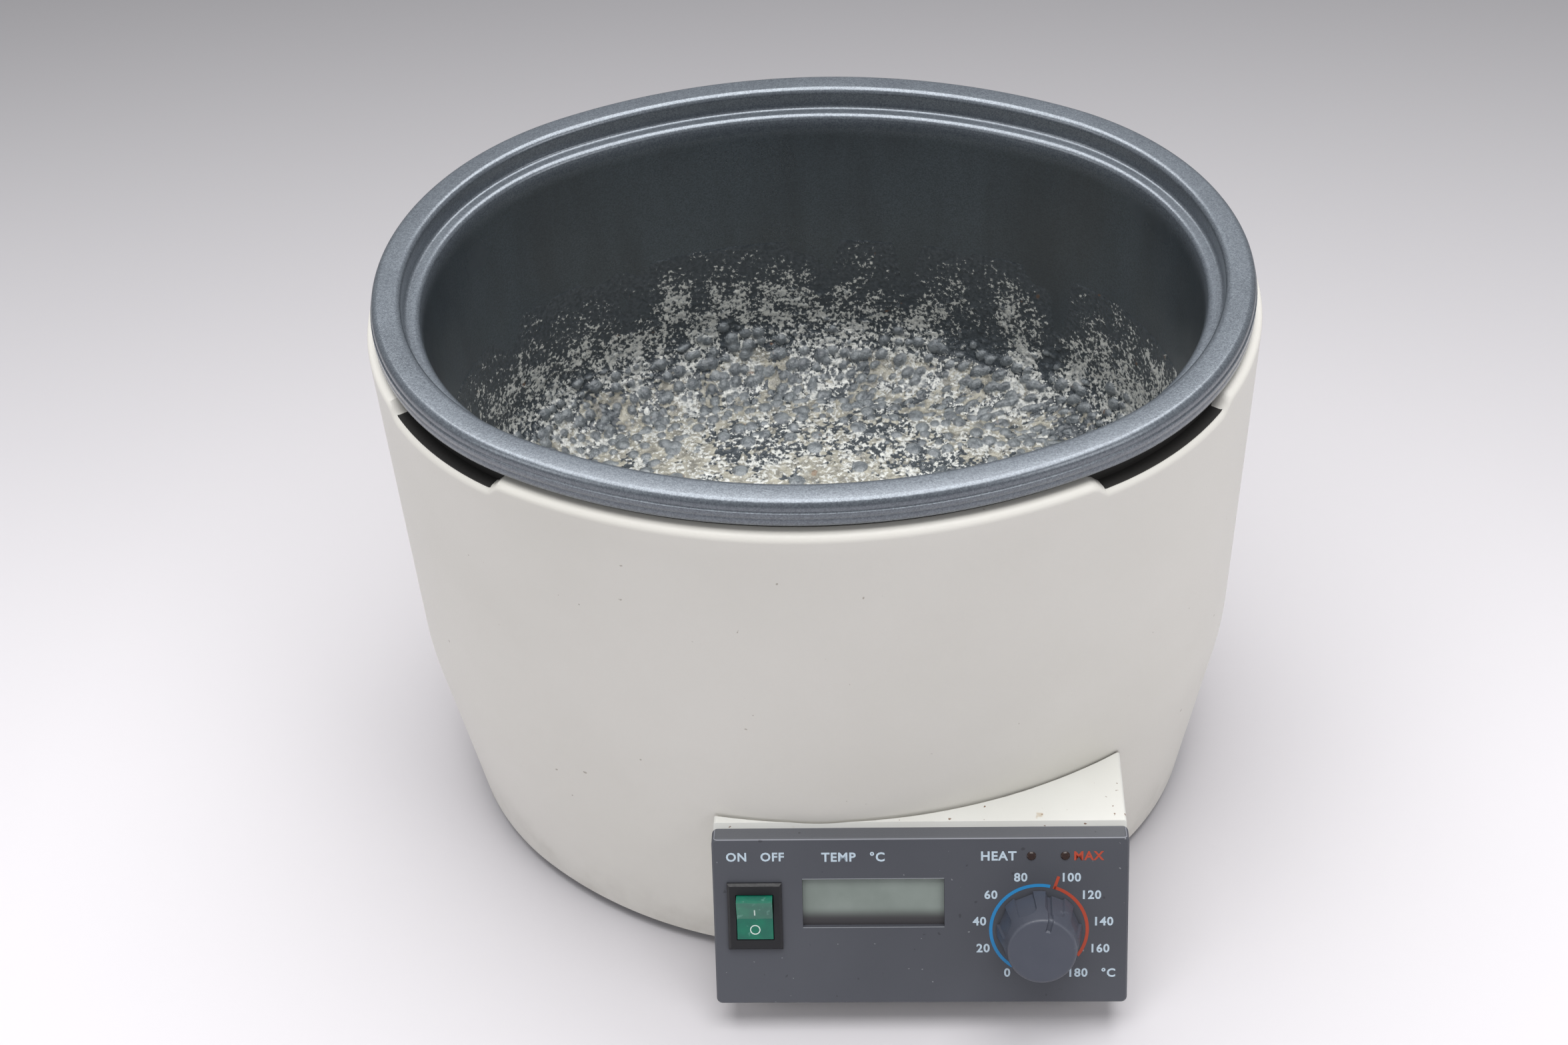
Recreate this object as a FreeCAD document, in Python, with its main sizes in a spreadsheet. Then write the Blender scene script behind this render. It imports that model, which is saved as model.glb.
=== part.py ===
import FreeCAD, Part
import math
import os
import Sketcher

# Laboratory heating bath: an oval pan in a moulded body, with a tilted control panel
# low on its front right. Millimetres, +X to the right, +Y to the back, +Z up.
# The origin is on the table, under the middle of the whole outline.

DRIVING_SIZES = (
    ("rim_half_length", 142.5),
    ("rim_half_width", 111.0),
    ("rim_end_radius", 100.0),
    ("rim_top", 209.5),
    ("rim_skirt", 8.6),
    ("rim_hem", 5.0),
    ("rim_hem_proud", 0.5),
    ("rim_edge", 1.6),
    ("rim_flange", 9.7),
    ("rim_inner_drop", 7.7),
    ("rim_inner_edge", 1.0),
    ("pan_step", 5.2),
    ("pan_depth", 118.0),
    ("pan_draft", 5.0),
    ("pan_corner", 24.0),
    ("pan_sheet", 1.5),
    ("scale_thick", 1.0),
    ("scale_spread", 5.8),
    ("blister_radius", 3.2),
    ("blister_height", 0.9),
    ("seal_width", 4.0),
    ("seal_inset", 2.6),
    ("wall_proud", 3.0),
    ("wall", 3.0),
    ("lip_gap", 2.6),
    ("lip_depth", 4.0),
    ("lip_width", 2.2),
    ("lip_edge", 1.2),
    ("shelf_reach", 16.0),
    ("crease_height", 68.0),
    ("crease_band", 8.0),
    ("base_height", 5.0),
    ("base_half_length", 134.5),
    ("base_half_width", 114.0),
    ("base_end_flat", 12.0),
    ("base_forward", 7.0),
    ("notch_length", 61.0),
    ("notch_width", 34.0),
    ("notch_out", 127.3),
    ("notch_along", 26.9),
    ("notch_turn", 45.0),
    ("corner_boss_radius", 4.5),
    ("corner_boss_height", 12.0),
    ("corner_boss_inset", 5.0),
    ("corner_boss_turn", 40.0),
    ("base_plate_sheet", 2.0),
    ("base_plate_inset", 1.8),
    ("tongue_width", 104.0),
    ("tongue_front", 138.0),
    ("vent_x", 48.0),
    ("vent_length", 34.0),
    ("vent_width", 3.6),
    ("vent_pitch", 9.0),
    ("vent_count", 6),
    ("foot_radius", 9.0),
    ("foot_inset_x", 50.5),
    ("foot_inset_y", 52.0),
    ("foot_edge", 1.0),
    ("screw_radius", 1.5),
    ("screw_head_radius", 3.2),
    ("screw_head", 1.8),
    ("screw_length", 9.0),
    ("panel_tilt", 28.5),
    ("panel_front", 149.0),
    ("panel_foot", 12.7),
    ("panel_width", 137.5),
    ("panel_height", 60.0),
    ("panel_x", 33.0),
    ("bezel_thick", 4.0),
    ("bezel_round", 2.0),
    ("bezel_edge", 0.6),
    ("bezel_top_rise", 2.1),
    ("console_height", 67.2),
    ("console_foot", 11.0),
    ("console_wall", 2.5),
    ("console_side_inset", 0.6),
    ("console_gap", 0.6),
    ("console_round", 1.0),
    ("console_pillar_radius", 4.5),
    ("console_pillar_x", 38.0),
    ("console_pillar_y", 131.0),
    ("opening_left", 4.0),
    ("opening_right", 16.0),
    ("opening_low", 16.0),
    ("opening_high", 60.0),
    ("switch_margin", 4.75),
    ("switch_u", 32.5),
    ("switch_width", 18.2),
    ("switch_length", 24.0),
    ("switch_flange", 1.6),
    ("switch_depth", 18.0),
    ("switch_shoulder", 1.0),
    ("rocker_width", 12.0),
    ("rocker_swing", 7.9),
    ("rocker_angle", 11.0),
    ("rocker_depth", 5.0),
    ("rocker_pivot", 0.4),
    ("rocker_crease", 1.5),
    ("display_gap", 6.75),
    ("display_u", 36.8),
    ("display_width", 47.1),
    ("display_length", 17.2),
    ("display_recess", 1.6),
    ("display_flange", 2.2),
    ("display_flange_thick", 1.5),
    ("lamp_u", 53.4),
    ("lamp_margin", 32.05),
    ("lamp_pitch", 11.1),
    ("lamp_radius", 1.5),
    ("lamp_rise", 0.5),
    ("knob_margin", 29.45),
    ("knob_u", 26.9),
    ("knob_radius", 14.2),
    ("knob_face_radius", 11.2),
    ("knob_height", 16.0),
    ("knob_gap", 0.5),
    ("knob_flute_width", 6.6),
    ("knob_flute_depth", 0.9),
    ("knob_flute_end", 4.6),
    ("knob_flutes", 8),
    ("knob_edge", 0.7),
    ("knob_recess_radius", 6.8),
    ("knob_recess", 3.2),
    ("pointer_angle", 14.5),
    ("pointer_width", 1.5),
    ("pointer_depth", 0.9),
    ("pointer_face_length", 4.0),
    ("spindle_radius", 3.0),
    ("spindle_length", 22.0),
    ("spindle_out", 13.0),
    ("bushing_radius", 3.5),
    ("bushing_out", 2.6),
    ("running_gap", 0.05),
    ("pot_radius", 8.0),
    ("nut_thick", 2.0),
    ("nut_radius", 5.6),
    ("clearance", 0.3),
    ("board_sheet", 1.6),
    ("board_behind", 14.0),
    ("board_margin_left", 27.75),
    ("board_margin_right", 4.75),
    ("board_u", 31.0),
    ("board_length", 38.0),
    ("spacer_radius", 2.4),
    ("heater_radius", 4.0),
    ("heater_straight", 48.0),
    ("heater_bend", 42.0),
    ("heater_lead", 14.0),
    ("clamp_length", 172.0),
    ("clamp_sheet", 3.0),
    ("stud_radius", 2.0),
    ("stud_pitch", 96.0),
    ("insulation", 14.0),
    ("insulation_inset", 30.0),
    ("band_gap", 1.0),
    ("band_thick", 9.0),
    ("shield_sheet", 1.0),
    ("shield_inset", 5.0),
    ("shield_rim", 8.0),
    ("pillar_radius", 4.0),
    ("pillar_x", 78.0),
    ("pillar_y", 44.0),
    ("boss_x", -20.0),
    ("boss_width", 92.0),
    ("boss_foot", 12.0),
    ("boss_height", 48.0),
    ("boss_proud", 1.5),
    ("boss_depth", 22.0),
    ("inlet_offset", -18.0),
    ("inlet_width", 27.6),
    ("inlet_height", 30.0),
    ("inlet_depth", 22.0),
    ("inlet_flange", 2.4),
    ("inlet_flange_width", 50.0),
    ("inlet_flange_height", 34.0),
    ("inlet_screw_pitch", 40.0),
    ("socket_width", 24.0),
    ("socket_height", 16.4),
    ("socket_depth", 16.0),
    ("socket_rise", 5.6),
    ("pin_width", 2.0),
    ("pin_height", 4.0),
    ("pin_length", 25.0),
    ("pin_recess", 5.4),
    ("pin_spread", 7.0),
    ("pin_stagger", 2.0),
    ("fuse_drop", 9.6),
    ("fuse_width", 20.4),
    ("fuse_height", 7.8),
    ("fuse_depth", 18.0),
    ("fuse_lip", 1.2),
    ("fuse_radius", 2.5),
    ("fuse_length", 15.0),
    ("reset_offset", 27.0),
    ("reset_radius", 4.0),
    ("reset_out", 4.0),
    ("reset_length", 18.0),
    ("cutout_width", 26.0),
    ("cutout_height", 20.0),
    ("cutout_depth", 20.0),
    ("cutout_neck", 6.0),
    ("probe_radius", 3.0),
    ("probe_length", 30.0),
    ("probe_y", 18.0),
    ("power_board_z", 12.0),
    ("power_board_width", 112.0),
    ("power_board_length", 92.0),
    ("power_board_y", -6.0),
    ("transformer_width", 42.0),
    ("transformer_length", 36.0),
    ("transformer_height", 32.0),
    ("relay_width", 19.0),
    ("relay_length", 15.0),
    ("relay_height", 16.0),
    ("fin_height", 28.0),
    ("fin_sheet", 1.5),
    ("fin_pitch", 4.5),
    ("fin_count", 8),
    ("fin_length", 24.0),
    ("terminal_width", 44.0),
    ("terminal_length", 12.0),
    ("terminal_height", 14.0),
)


class Size:
    """A size known both as a number and as the sheet expression that gives it."""

    def __init__(self, value, text):
        self.value = float(value)
        self.text = text

    @staticmethod
    def of(other):
        return other if isinstance(other, Size) else Size(other, repr(float(other)))

    def __add__(self, other):
        other = Size.of(other)
        return Size(self.value + other.value, f"({self.text} + {other.text})")

    __radd__ = __add__

    def __sub__(self, other):
        other = Size.of(other)
        return Size(self.value - other.value, f"({self.text} - {other.text})")

    def __rsub__(self, other):
        return Size.of(other) - self

    def __mul__(self, other):
        other = Size.of(other)
        return Size(self.value * other.value, f"({self.text} * {other.text})")

    __rmul__ = __mul__

    def __truediv__(self, other):
        other = Size.of(other)
        return Size(self.value / other.value, f"({self.text} / {other.text})")

    def __neg__(self):
        return 0.0 - self

    def tangent(self):
        return self.sine() / self.cosine()

    def sine(self):
        return Size(math.sin(math.radians(self.value)), f"sin({self.text} * 1 deg)")

    def cosine(self):
        return Size(math.cos(math.radians(self.value)), f"cos({self.text} * 1 deg)")


class Sizes:
    """Every driving size as an attribute, backed by one cell of the sheet."""


doc = FreeCAD.newDocument("heating_bath")
sheet = doc.addObject("Spreadsheet::Sheet", "dims")
S = Sizes()
for row, (alias, value) in enumerate(DRIVING_SIZES, start=1):
    sheet.set(f"A{row}", alias)
    sheet.set(f"B{row}", str(value))
    sheet.setAlias(f"B{row}", alias)
    setattr(S, alias, Size(value, f"dims.{alias}"))
centre_row = len(DRIVING_SIZES) + 1
sheet.set(f"A{centre_row}", "bath_centre_y")
sheet.set(f"B{centre_row}", "0")
sheet.setAlias(f"B{centre_row}", "bath_centre_y")
S.bath_centre_y = Size(0, "dims.bath_centre_y")
doc.recompute()

Vector = FreeCAD.Vector
X_AXIS = Vector(1, 0, 0)
Z_AXIS = Vector(0, 0, 1)
parts = []


# Helpers that bind sizes to the sheet

def bind(obj, path, size):
    """Bind one property of an object to a size."""
    obj.setExpression(path, Size.of(size).text)


def move(obj, x=0.0, y=0.0, z=0.0):
    """Place an object in the bath's own frame, whose middle lies at bath_centre_y."""
    place = (Size.of(x), Size.of(y) + S.bath_centre_y, Size.of(z))
    obj.Placement = FreeCAD.Placement(Vector(*(p.value for p in place)), obj.Placement.Rotation)
    for axis, size in zip("xyz", place):
        bind(obj, f"Placement.Base.{axis}", size)


def tilt(obj):
    """Turn an object so that its Z points straight out of the tilted panel."""
    angle = 90.0 - S.panel_tilt
    obj.Placement = FreeCAD.Placement(obj.Placement.Base, FreeCAD.Rotation(X_AXIS, angle.value))
    bind(obj, "Placement.Rotation.Angle", angle)


def on_panel(obj, x=0.0, u=0.0, n=0.0):
    """Seat an object on the panel: x across, u up the slope, n out of the front face."""
    tilt(obj)
    u, n = Size.of(u), Size.of(n)
    sine, cosine = S.panel_tilt.sine(), S.panel_tilt.cosine()
    move(obj, x, -S.panel_front + u * sine - n * cosine, S.panel_foot + u * cosine + n * sine)


def part(obj, label):
    """Name a finished sub-part, which is written to a file of that name."""
    obj.Label = label
    parts.append(obj)
    return obj


def new_body(name):
    return doc.addObject("PartDesign::Body", name)


def new_sketch(body, name, role="XY_Plane", offset=0.0, turn=None):
    """A sketch on one origin plane of its body, moved along that plane's normal."""
    sketch = body.newObject("Sketcher::SketchObject", name)
    plane = next(f for f in body.Origin.OriginFeatures if f.Role == role)
    sketch.AttachmentSupport = [(plane, "")]
    sketch.MapMode = "FlatFace"
    rotation = turn or FreeCAD.Rotation()
    sketch.AttachmentOffset = FreeCAD.Placement(Vector(0, 0, Size.of(offset).value), rotation)
    bind(sketch, "AttachmentOffset.Base.z", offset)
    return sketch


def hold(sketch, kind, *entity, size=None):
    """Add one constraint, bound to a size where it has one."""
    if size is None:
        sketch.addConstraint(Sketcher.Constraint(kind, *entity))
        return
    index = sketch.addConstraint(Sketcher.Constraint(kind, *entity, size.value))
    sketch.setExpression(f"Constraints[{index}]", size.text)


def place_point(sketch, geometry, point, x, y):
    """Hold a point of a sketch at x and y, using the axes where a value is zero."""
    for kind, size, axis in (("DistanceX", Size.of(x), -2), ("DistanceY", Size.of(y), -1)):
        if abs(size.value) < 1e-9 and size.text in ("0.0", "(0.0 - 0.0)"):
            hold(sketch, "PointOnObject", geometry, point, axis)
        elif size.value < 0:
            hold(sketch, kind, geometry, point, -1, 1, size=-size)
        else:
            hold(sketch, kind, -1, 1, geometry, point, size=size)


def oval(sketch, half_length, half_width, end_radius, inset=0.0):
    """Four tangent arcs: an oval moved inwards by inset keeps the centres of its arcs."""
    inset = Size.of(inset)
    reach = half_length - end_radius
    squared = reach * reach + half_width * half_width - end_radius * end_radius
    side_radius = squared / (2.0 * (half_width - end_radius))
    drop = side_radius - half_width
    end = end_radius - inset
    side = side_radius - inset
    turn = math.atan2(drop.value, reach.value)
    arcs = (
        (reach.value, 0.0, end.value, -turn, turn),
        (0.0, -drop.value, side.value, turn, math.pi - turn),
        (-reach.value, 0.0, end.value, math.pi - turn, math.pi + turn),
        (0.0, drop.value, side.value, math.pi + turn, 2 * math.pi - turn),
    )
    right = sketch.GeometryCount
    for x, y, radius, start, stop in arcs:
        sketch.addGeometry(Part.ArcOfCircle(Part.Circle(Vector(x, y, 0), Z_AXIS, radius), start, stop))
    back, left, front = right + 1, right + 2, right + 3
    place_point(sketch, right, 3, reach, 0.0)
    place_point(sketch, back, 3, 0.0, -drop)
    place_point(sketch, left, 3, -reach, 0.0)
    place_point(sketch, front, 3, 0.0, drop)
    hold(sketch, "Radius", right, size=end)
    hold(sketch, "Tangent", right, 2, back, 1)
    hold(sketch, "Tangent", back, 2, left, 1)
    hold(sketch, "Tangent", right, 1, front, 2)
    hold(sketch, "Vertical", left, 2, back, 2)
    hold(sketch, "Vertical", front, 1, back, 2)


def rim_oval(body, name, height, inset=0.0):
    sketch = new_sketch(body, name, offset=height)
    oval(sketch, S.rim_half_length, S.rim_half_width, S.rim_end_radius, inset)
    return sketch


def skirt_oval(body, name, height, share, inset=0.0):
    """An oval between the base outline, at share 0, and the upright wall, at share 1."""
    def between(low, high):
        return low + (high - low) * share

    sketch = new_sketch(body, name, offset=height)
    oval(sketch, between(S.base_half_length, S.rim_half_length + S.wall_proud),
         between(S.base_half_width, S.rim_half_width + S.wall_proud),
         between(base_end_radius, S.rim_end_radius + S.wall_proud), inset)
    bind(sketch, "AttachmentOffset.Base.y", S.base_forward * (share - 1.0))
    return sketch


def skirt(body, kind, name, inset):
    """The lower wall: a lean up to the crease band, which eases it into the upright wall."""
    low = S.crease_height - S.crease_band
    share = (low - S.base_height) / (S.crease_height - S.base_height)
    outlines = [
        skirt_oval(body, name + "_base", S.base_height, Size.of(0.0), inset),
        skirt_oval(body, name + "_crease", low, share, inset),
        rim_oval(body, name + "_top", wall_foot, outset + inset),
    ]
    return loft(body, kind, name, *outlines)


def polygon(sketch, points):
    """A closed outline of straight lines through bound points."""
    count = len(points)
    flat = [Vector(Size.of(x).value, Size.of(y).value, 0) for x, y in points]
    first = sketch.GeometryCount
    for index in range(count):
        sketch.addGeometry(Part.LineSegment(flat[index], flat[(index + 1) % count]))
    for index in range(count):
        hold(sketch, "Coincident", first + index, 2, first + (index + 1) % count, 1)
    for index, (x, y) in enumerate(points):
        place_point(sketch, first + index, 1, x, y)


def rectangle(sketch, x, y, width, height):
    """A rectangle about its middle."""
    left, right = x - width / 2.0, x + width / 2.0
    low, high = y - height / 2.0, y + height / 2.0
    polygon(sketch, ((left, low), (right, low), (right, high), (left, high)))


def circle(sketch, x, y, radius):
    x, y, radius = Size.of(x), Size.of(y), Size.of(radius)
    index = sketch.addGeometry(Part.Circle(Vector(x.value, y.value, 0), Z_AXIS, radius.value))
    place_point(sketch, index, 3, x, y)
    hold(sketch, "Radius", index, size=radius)


def slot(sketch, x, low, high, radius):
    """An upright slot with round ends, between the heights of its two centres."""
    x, low, high, radius = (Size.of(v) for v in (x, low, high, radius))
    top = sketch.addGeometry(Part.ArcOfCircle(
        Part.Circle(Vector(x.value, high.value, 0), Z_AXIS, radius.value), 0, math.pi))
    bottom = sketch.addGeometry(Part.ArcOfCircle(
        Part.Circle(Vector(x.value, low.value, 0), Z_AXIS, radius.value), math.pi, 2 * math.pi))
    ends = [Vector(x.value + side * radius.value, level.value, 0)
            for side, level in ((-1, high), (-1, low), (1, low), (1, high))]
    left = sketch.addGeometry(Part.LineSegment(ends[0], ends[1]))
    right = sketch.addGeometry(Part.LineSegment(ends[2], ends[3]))
    place_point(sketch, top, 3, x, high)
    place_point(sketch, bottom, 3, x, low)
    hold(sketch, "Radius", top, size=radius)
    hold(sketch, "Tangent", top, 2, left, 1)
    hold(sketch, "Tangent", left, 2, bottom, 1)
    hold(sketch, "Tangent", bottom, 2, right, 1)
    hold(sketch, "Tangent", right, 2, top, 1)


def feature(body, kind, name, profile, length, reverse=False):
    """A Pad, Pocket or other feature made from one sketch."""
    made = body.newObject(f"PartDesign::{kind}", name)
    made.Profile = (profile, "")
    made.Length = Size.of(length).value
    bind(made, "Length", length)
    made.Reversed = reverse
    profile.Visibility = False
    doc.recompute()
    return made


def block(body, name, plane, offset, x, y, width, height, length, kind="Pad", reverse=False):
    """A Pad or Pocket of a rectangle about x and y on one origin plane."""
    sketch = new_sketch(body, name + "_outline", plane, offset)
    rectangle(sketch, Size.of(x), Size.of(y), Size.of(width), Size.of(height))
    return feature(body, kind, name, sketch, length, reverse)


def disc(body, name, plane, offset, x, y, radius, length, kind="Pad", reverse=False):
    """A Pad or Pocket of a circle about x and y on one origin plane."""
    sketch = new_sketch(body, name + "_outline", plane, offset)
    circle(sketch, x, y, radius)
    return feature(body, kind, name, sketch, length, reverse)


def discs(body, name, plane, offset, places, radius, length, kind="Pad", reverse=False):
    """A Pad or Pocket of equal circles, all in one sketch."""
    sketch = new_sketch(body, name + "_outline", plane, offset)
    for x, y in places:
        circle(sketch, x, y, radius)
    return feature(body, kind, name, sketch, length, reverse)


def loft(body, kind, name, first, *others):
    """An AdditiveLoft or SubtractiveLoft through a row of sketches."""
    made = body.newObject(f"PartDesign::{kind}", name)
    made.Profile = (first, "")
    made.Sections = [(other, "") for other in others]
    made.Ruled = True
    doc.recompute()
    return made


def round_edges(body, name, radius, test):
    """A fillet on every edge of the body's last shape that passes the test."""
    base = body.Tip
    names = [f"Edge{i}" for i, edge in enumerate(base.Shape.Edges, start=1) if test(edge)]
    made = body.newObject("PartDesign::Fillet", name)
    made.Base = (base, names)
    made.Radius = Size.of(radius).value
    bind(made, "Radius", radius)
    doc.recompute()
    return made


def bevel_edges(body, name, width, test):
    """A chamfer on every edge of the body's last shape that passes the test."""
    base = body.Tip
    names = [f"Edge{i}" for i, edge in enumerate(base.Shape.Edges, start=1) if test(edge)]
    made = body.newObject("PartDesign::Chamfer", name)
    made.Base = (base, names)
    made.Size = Size.of(width).value
    bind(made, "Size", width)
    doc.recompute()
    return made


def level(edge, height):
    """True where the whole edge lies at one height of its body."""
    box = edge.BoundBox
    return abs(box.ZMin - height.value) < 0.01 and abs(box.ZMax - height.value) < 0.01


def cylinder(name, radius, height):
    made = doc.addObject("Part::Cylinder", name)
    made.Radius = Size.of(radius).value
    made.Height = Size.of(height).value
    bind(made, "Radius", radius)
    bind(made, "Height", height)
    return made


def shift(obj, x=0.0, y=0.0, z=0.0):
    """Place a tool of a boolean in the frame of its result."""
    for axis, size in zip("xyz", (x, y, z)):
        bind(obj, f"Placement.Base.{axis}", size)
    doc.recompute()
    return obj


def cut(name, base, *tools):
    """The base less its tools."""
    tool = tools[0] if len(tools) == 1 else fuse(name + "_tools", *tools)
    made = doc.addObject("Part::Cut", name)
    made.Base = base
    made.Tool = tool
    doc.recompute()
    return made


def fuse(name, *shapes):
    made = doc.addObject("Part::MultiFuse", name)
    made.Shapes = list(shapes)
    doc.recompute()
    return made


def prism(name, radius, height):
    """A hexagonal bar or nut blank of bound corner radius and height."""
    made = doc.addObject("Part::Prism", name)
    made.Polygon = 6
    made.Circumradius = Size.of(radius).value
    made.Height = Size.of(height).value
    bind(made, "Circumradius", radius)
    bind(made, "Height", height)
    return made


def group(name, maker, places):
    """Several separate solids of one kind, each shifted to its own place."""
    copies = [shift(maker(f"{name}_{i}"), *place) for i, place in enumerate(places, start=1)]
    return fuse(name, *copies)


# Levels and places shared by the pieces

lip_top = S.rim_top - S.rim_skirt - S.lip_gap
shelf_top = lip_top - S.lip_depth
shelf_underside = shelf_top - S.wall
pan_floor = S.rim_top - S.pan_depth
pan_underside = pan_floor - S.pan_sheet
step_top = S.rim_top - S.rim_inner_drop
outset = -S.wall_proud
wall_foot = S.crease_height + S.crease_band
well_inset = S.rim_flange + S.pan_step
floor_inset = well_inset + S.pan_draft + S.pan_corner
floor_length = S.rim_half_length - floor_inset - S.blister_radius
floor_width = S.rim_half_width - floor_inset - S.blister_radius
BLISTERS = 48
GOLDEN_TURN = math.pi * (3.0 - math.sqrt(5.0))
heater_middle = pan_underside - S.heater_radius - S.running_gap
clamp_top = heater_middle - S.heater_radius - S.running_gap
insulation_top = clamp_top - S.clamp_sheet
shield_top = insulation_top - S.insulation
shield_underside = shield_top - S.shield_sheet
plate_underside = S.base_height - S.base_plate_sheet
back_face = S.rim_half_width + S.wall_proud + S.boss_proud
boss_middle = S.boss_foot + S.boss_height / 2.0
inlet_x = S.boss_x + S.inlet_offset
reset_x = S.boss_x + S.reset_offset
stud_xs = (-S.stud_pitch / 2.0, S.stud_pitch / 2.0)
pillar_places = [(sx * S.pillar_x, sy * S.pillar_y - S.base_forward) for sx in (-1, 1) for sy in (-1, 1)]
foot_x, foot_y = S.base_half_length - S.foot_inset_x, S.base_half_width - S.foot_inset_y
foot_places = [(sx * foot_x, sy * foot_y - S.base_forward) for sy in (-1, 1) for sx in (-1, 1)]
base_end_radius = S.base_half_width - S.base_end_flat
end_reach = S.base_half_length - base_end_radius
boss_reach = base_end_radius - S.corner_boss_inset
pin_places = [(side * S.pin_spread, S.socket_rise - S.pin_stagger) for side in (-1, 1)]
pin_places.append((Size.of(0.0), S.socket_rise + S.pin_stagger))
corner_x = end_reach + boss_reach * S.corner_boss_turn.cosine()
corner_y = boss_reach * S.corner_boss_turn.sine()
corner_places = [(sx * corner_x, sy * corner_y - S.base_forward) for sx in (-1, 1) for sy in (-1, 1)]
panel_left, panel_right = S.panel_x - S.panel_width / 2.0, S.panel_x + S.panel_width / 2.0
switch_x = panel_left + S.switch_margin + S.switch_width / 2.0
display_x = switch_x + (S.switch_width + S.display_width) / 2.0 + S.display_gap
knob_x, lamp_x = panel_right - S.knob_margin, panel_right - S.lamp_margin
board_width = S.panel_width - S.board_margin_left - S.board_margin_right
board_x = panel_left + S.board_margin_left + board_width / 2.0
tongue_places = [(S.panel_x + side * S.console_pillar_x, -S.console_pillar_y) for side in (-1, 1)]


# Moulded body: an upright oval wall over a skirt that leans out at the front, in at the sides

def make_housing():
    body = new_body("housing")
    upper = rim_oval(body, "wall_outline", wall_foot, outset)
    feature(body, "Pad", "upright_wall", upper, lip_top - wall_foot)
    skirt(body, "AdditiveLoft", "skirt", Size.of(0.0))
    block(body, "boss", "XZ_Plane", -back_face, S.boss_x, boss_middle,
          S.boss_width, S.boss_height, S.boss_depth)

    bevel_edges(body, "lip_bevel", S.lip_edge, lambda edge: level(edge, lip_top))

    inner = rim_oval(body, "cavity_outline", wall_foot, outset + S.wall)
    feature(body, "Pocket", "cavity", inner, shelf_underside - wall_foot, reverse=True)
    skirt(body, "SubtractiveLoft", "skirt_cavity", S.wall)
    shelf = rim_oval(body, "shelf_opening", lip_top, outset + S.shelf_reach)
    feature(body, "Pocket", "shelf_hole", shelf, S.lip_depth + S.wall * 2.0)
    recess = rim_oval(body, "lip_recess", lip_top, outset + S.lip_width)
    feature(body, "Pocket", "lip_step", recess, S.lip_depth)
    block(body, "boss_inside", "XZ_Plane", -(back_face - S.wall), S.boss_x, boss_middle,
          S.boss_width - 2.0 * S.wall, S.boss_height - 2.0 * S.wall, S.boss_depth, "Pocket", reverse=True)

    for side, name in ((1, "right"), (-1, "left")):
        turn = FreeCAD.Rotation(Z_AXIS, -90.0 + side * S.notch_turn.value)
        sketch = new_sketch(body, "notch_outline_" + name, offset=lip_top, turn=turn)
        rectangle(sketch, S.notch_out, side * S.notch_along, S.notch_width, S.notch_length)
        feature(body, "Pocket", "finger_notch_" + name, sketch, S.lip_depth)

    opening_width = S.panel_width - S.opening_left - S.opening_right
    opening_x = S.panel_x + (S.opening_left - S.opening_right) / 2.0
    block(body, "console_opening", "XZ_Plane", S.panel_front, opening_x,
          (S.opening_low + S.opening_high) / 2.0, opening_width, S.opening_high - S.opening_low,
          S.panel_front - S.rim_half_width / 2.0, "Pocket")

    openings = new_sketch(body, "boss_openings_outline", "XZ_Plane", -back_face)
    rectangle(openings, inlet_x, boss_middle, S.inlet_width + 2.0 * S.clearance,
              S.inlet_height + 2.0 * S.clearance)
    circle(openings, reset_x, boss_middle, S.cutout_neck + S.running_gap)
    for side in (-1, 1):
        circle(openings, inlet_x + side * S.inlet_screw_pitch / 2.0, boss_middle,
               S.screw_radius + S.running_gap)
    feature(body, "Pocket", "boss_openings", openings, 2.0 * S.wall, reverse=True)

    discs(body, "corner_bosses", "XY_Plane", S.base_height, corner_places,
          S.corner_boss_radius, S.corner_boss_height)
    discs(body, "corner_pilots", "XY_Plane", S.base_height, corner_places,
          S.screw_radius + S.running_gap, S.screw_length, "Pocket", reverse=True)
    move(body)
    return part(body, "housing")


# Base plate: black sheet with a tongue under the console and vent slots

def make_base_plate():
    body = new_body("base_plate")
    outline = skirt_oval(body, "plate_outline", plate_underside, Size.of(0.0), S.base_plate_inset)
    feature(body, "Pad", "plate", outline, S.base_plate_sheet)
    tongue_length = S.tongue_front - S.base_forward
    block(body, "tongue", "XY_Plane", plate_underside, S.panel_x, -(S.tongue_front - tongue_length / 2.0),
          S.tongue_width, tongue_length, S.base_plate_sheet)
    discs(body, "screw_holes", "XY_Plane", S.base_height, corner_places + tongue_places,
          S.screw_radius + S.running_gap, S.base_plate_sheet, "Pocket")
    first = block(body, "vent", "XY_Plane", S.base_height, S.vent_x, -S.base_forward,
                  S.vent_width, S.vent_length, S.base_plate_sheet, "Pocket")
    pattern = body.newObject("PartDesign::LinearPattern", "vents")
    pattern.Originals = [first]
    pattern.Direction = (first.Profile[0], ["H_Axis"])
    pattern.Reversed = True
    pattern.Length = ((S.vent_count - 1.0) * S.vent_pitch).value
    bind(pattern, "Length", (S.vent_count - 1.0) * S.vent_pitch)
    pattern.Occurrences = int(S.vent_count.value)
    bind(pattern, "Occurrences", S.vent_count)
    body.Tip = pattern
    doc.recompute()
    move(body)
    return part(body, "base_plate")


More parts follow.
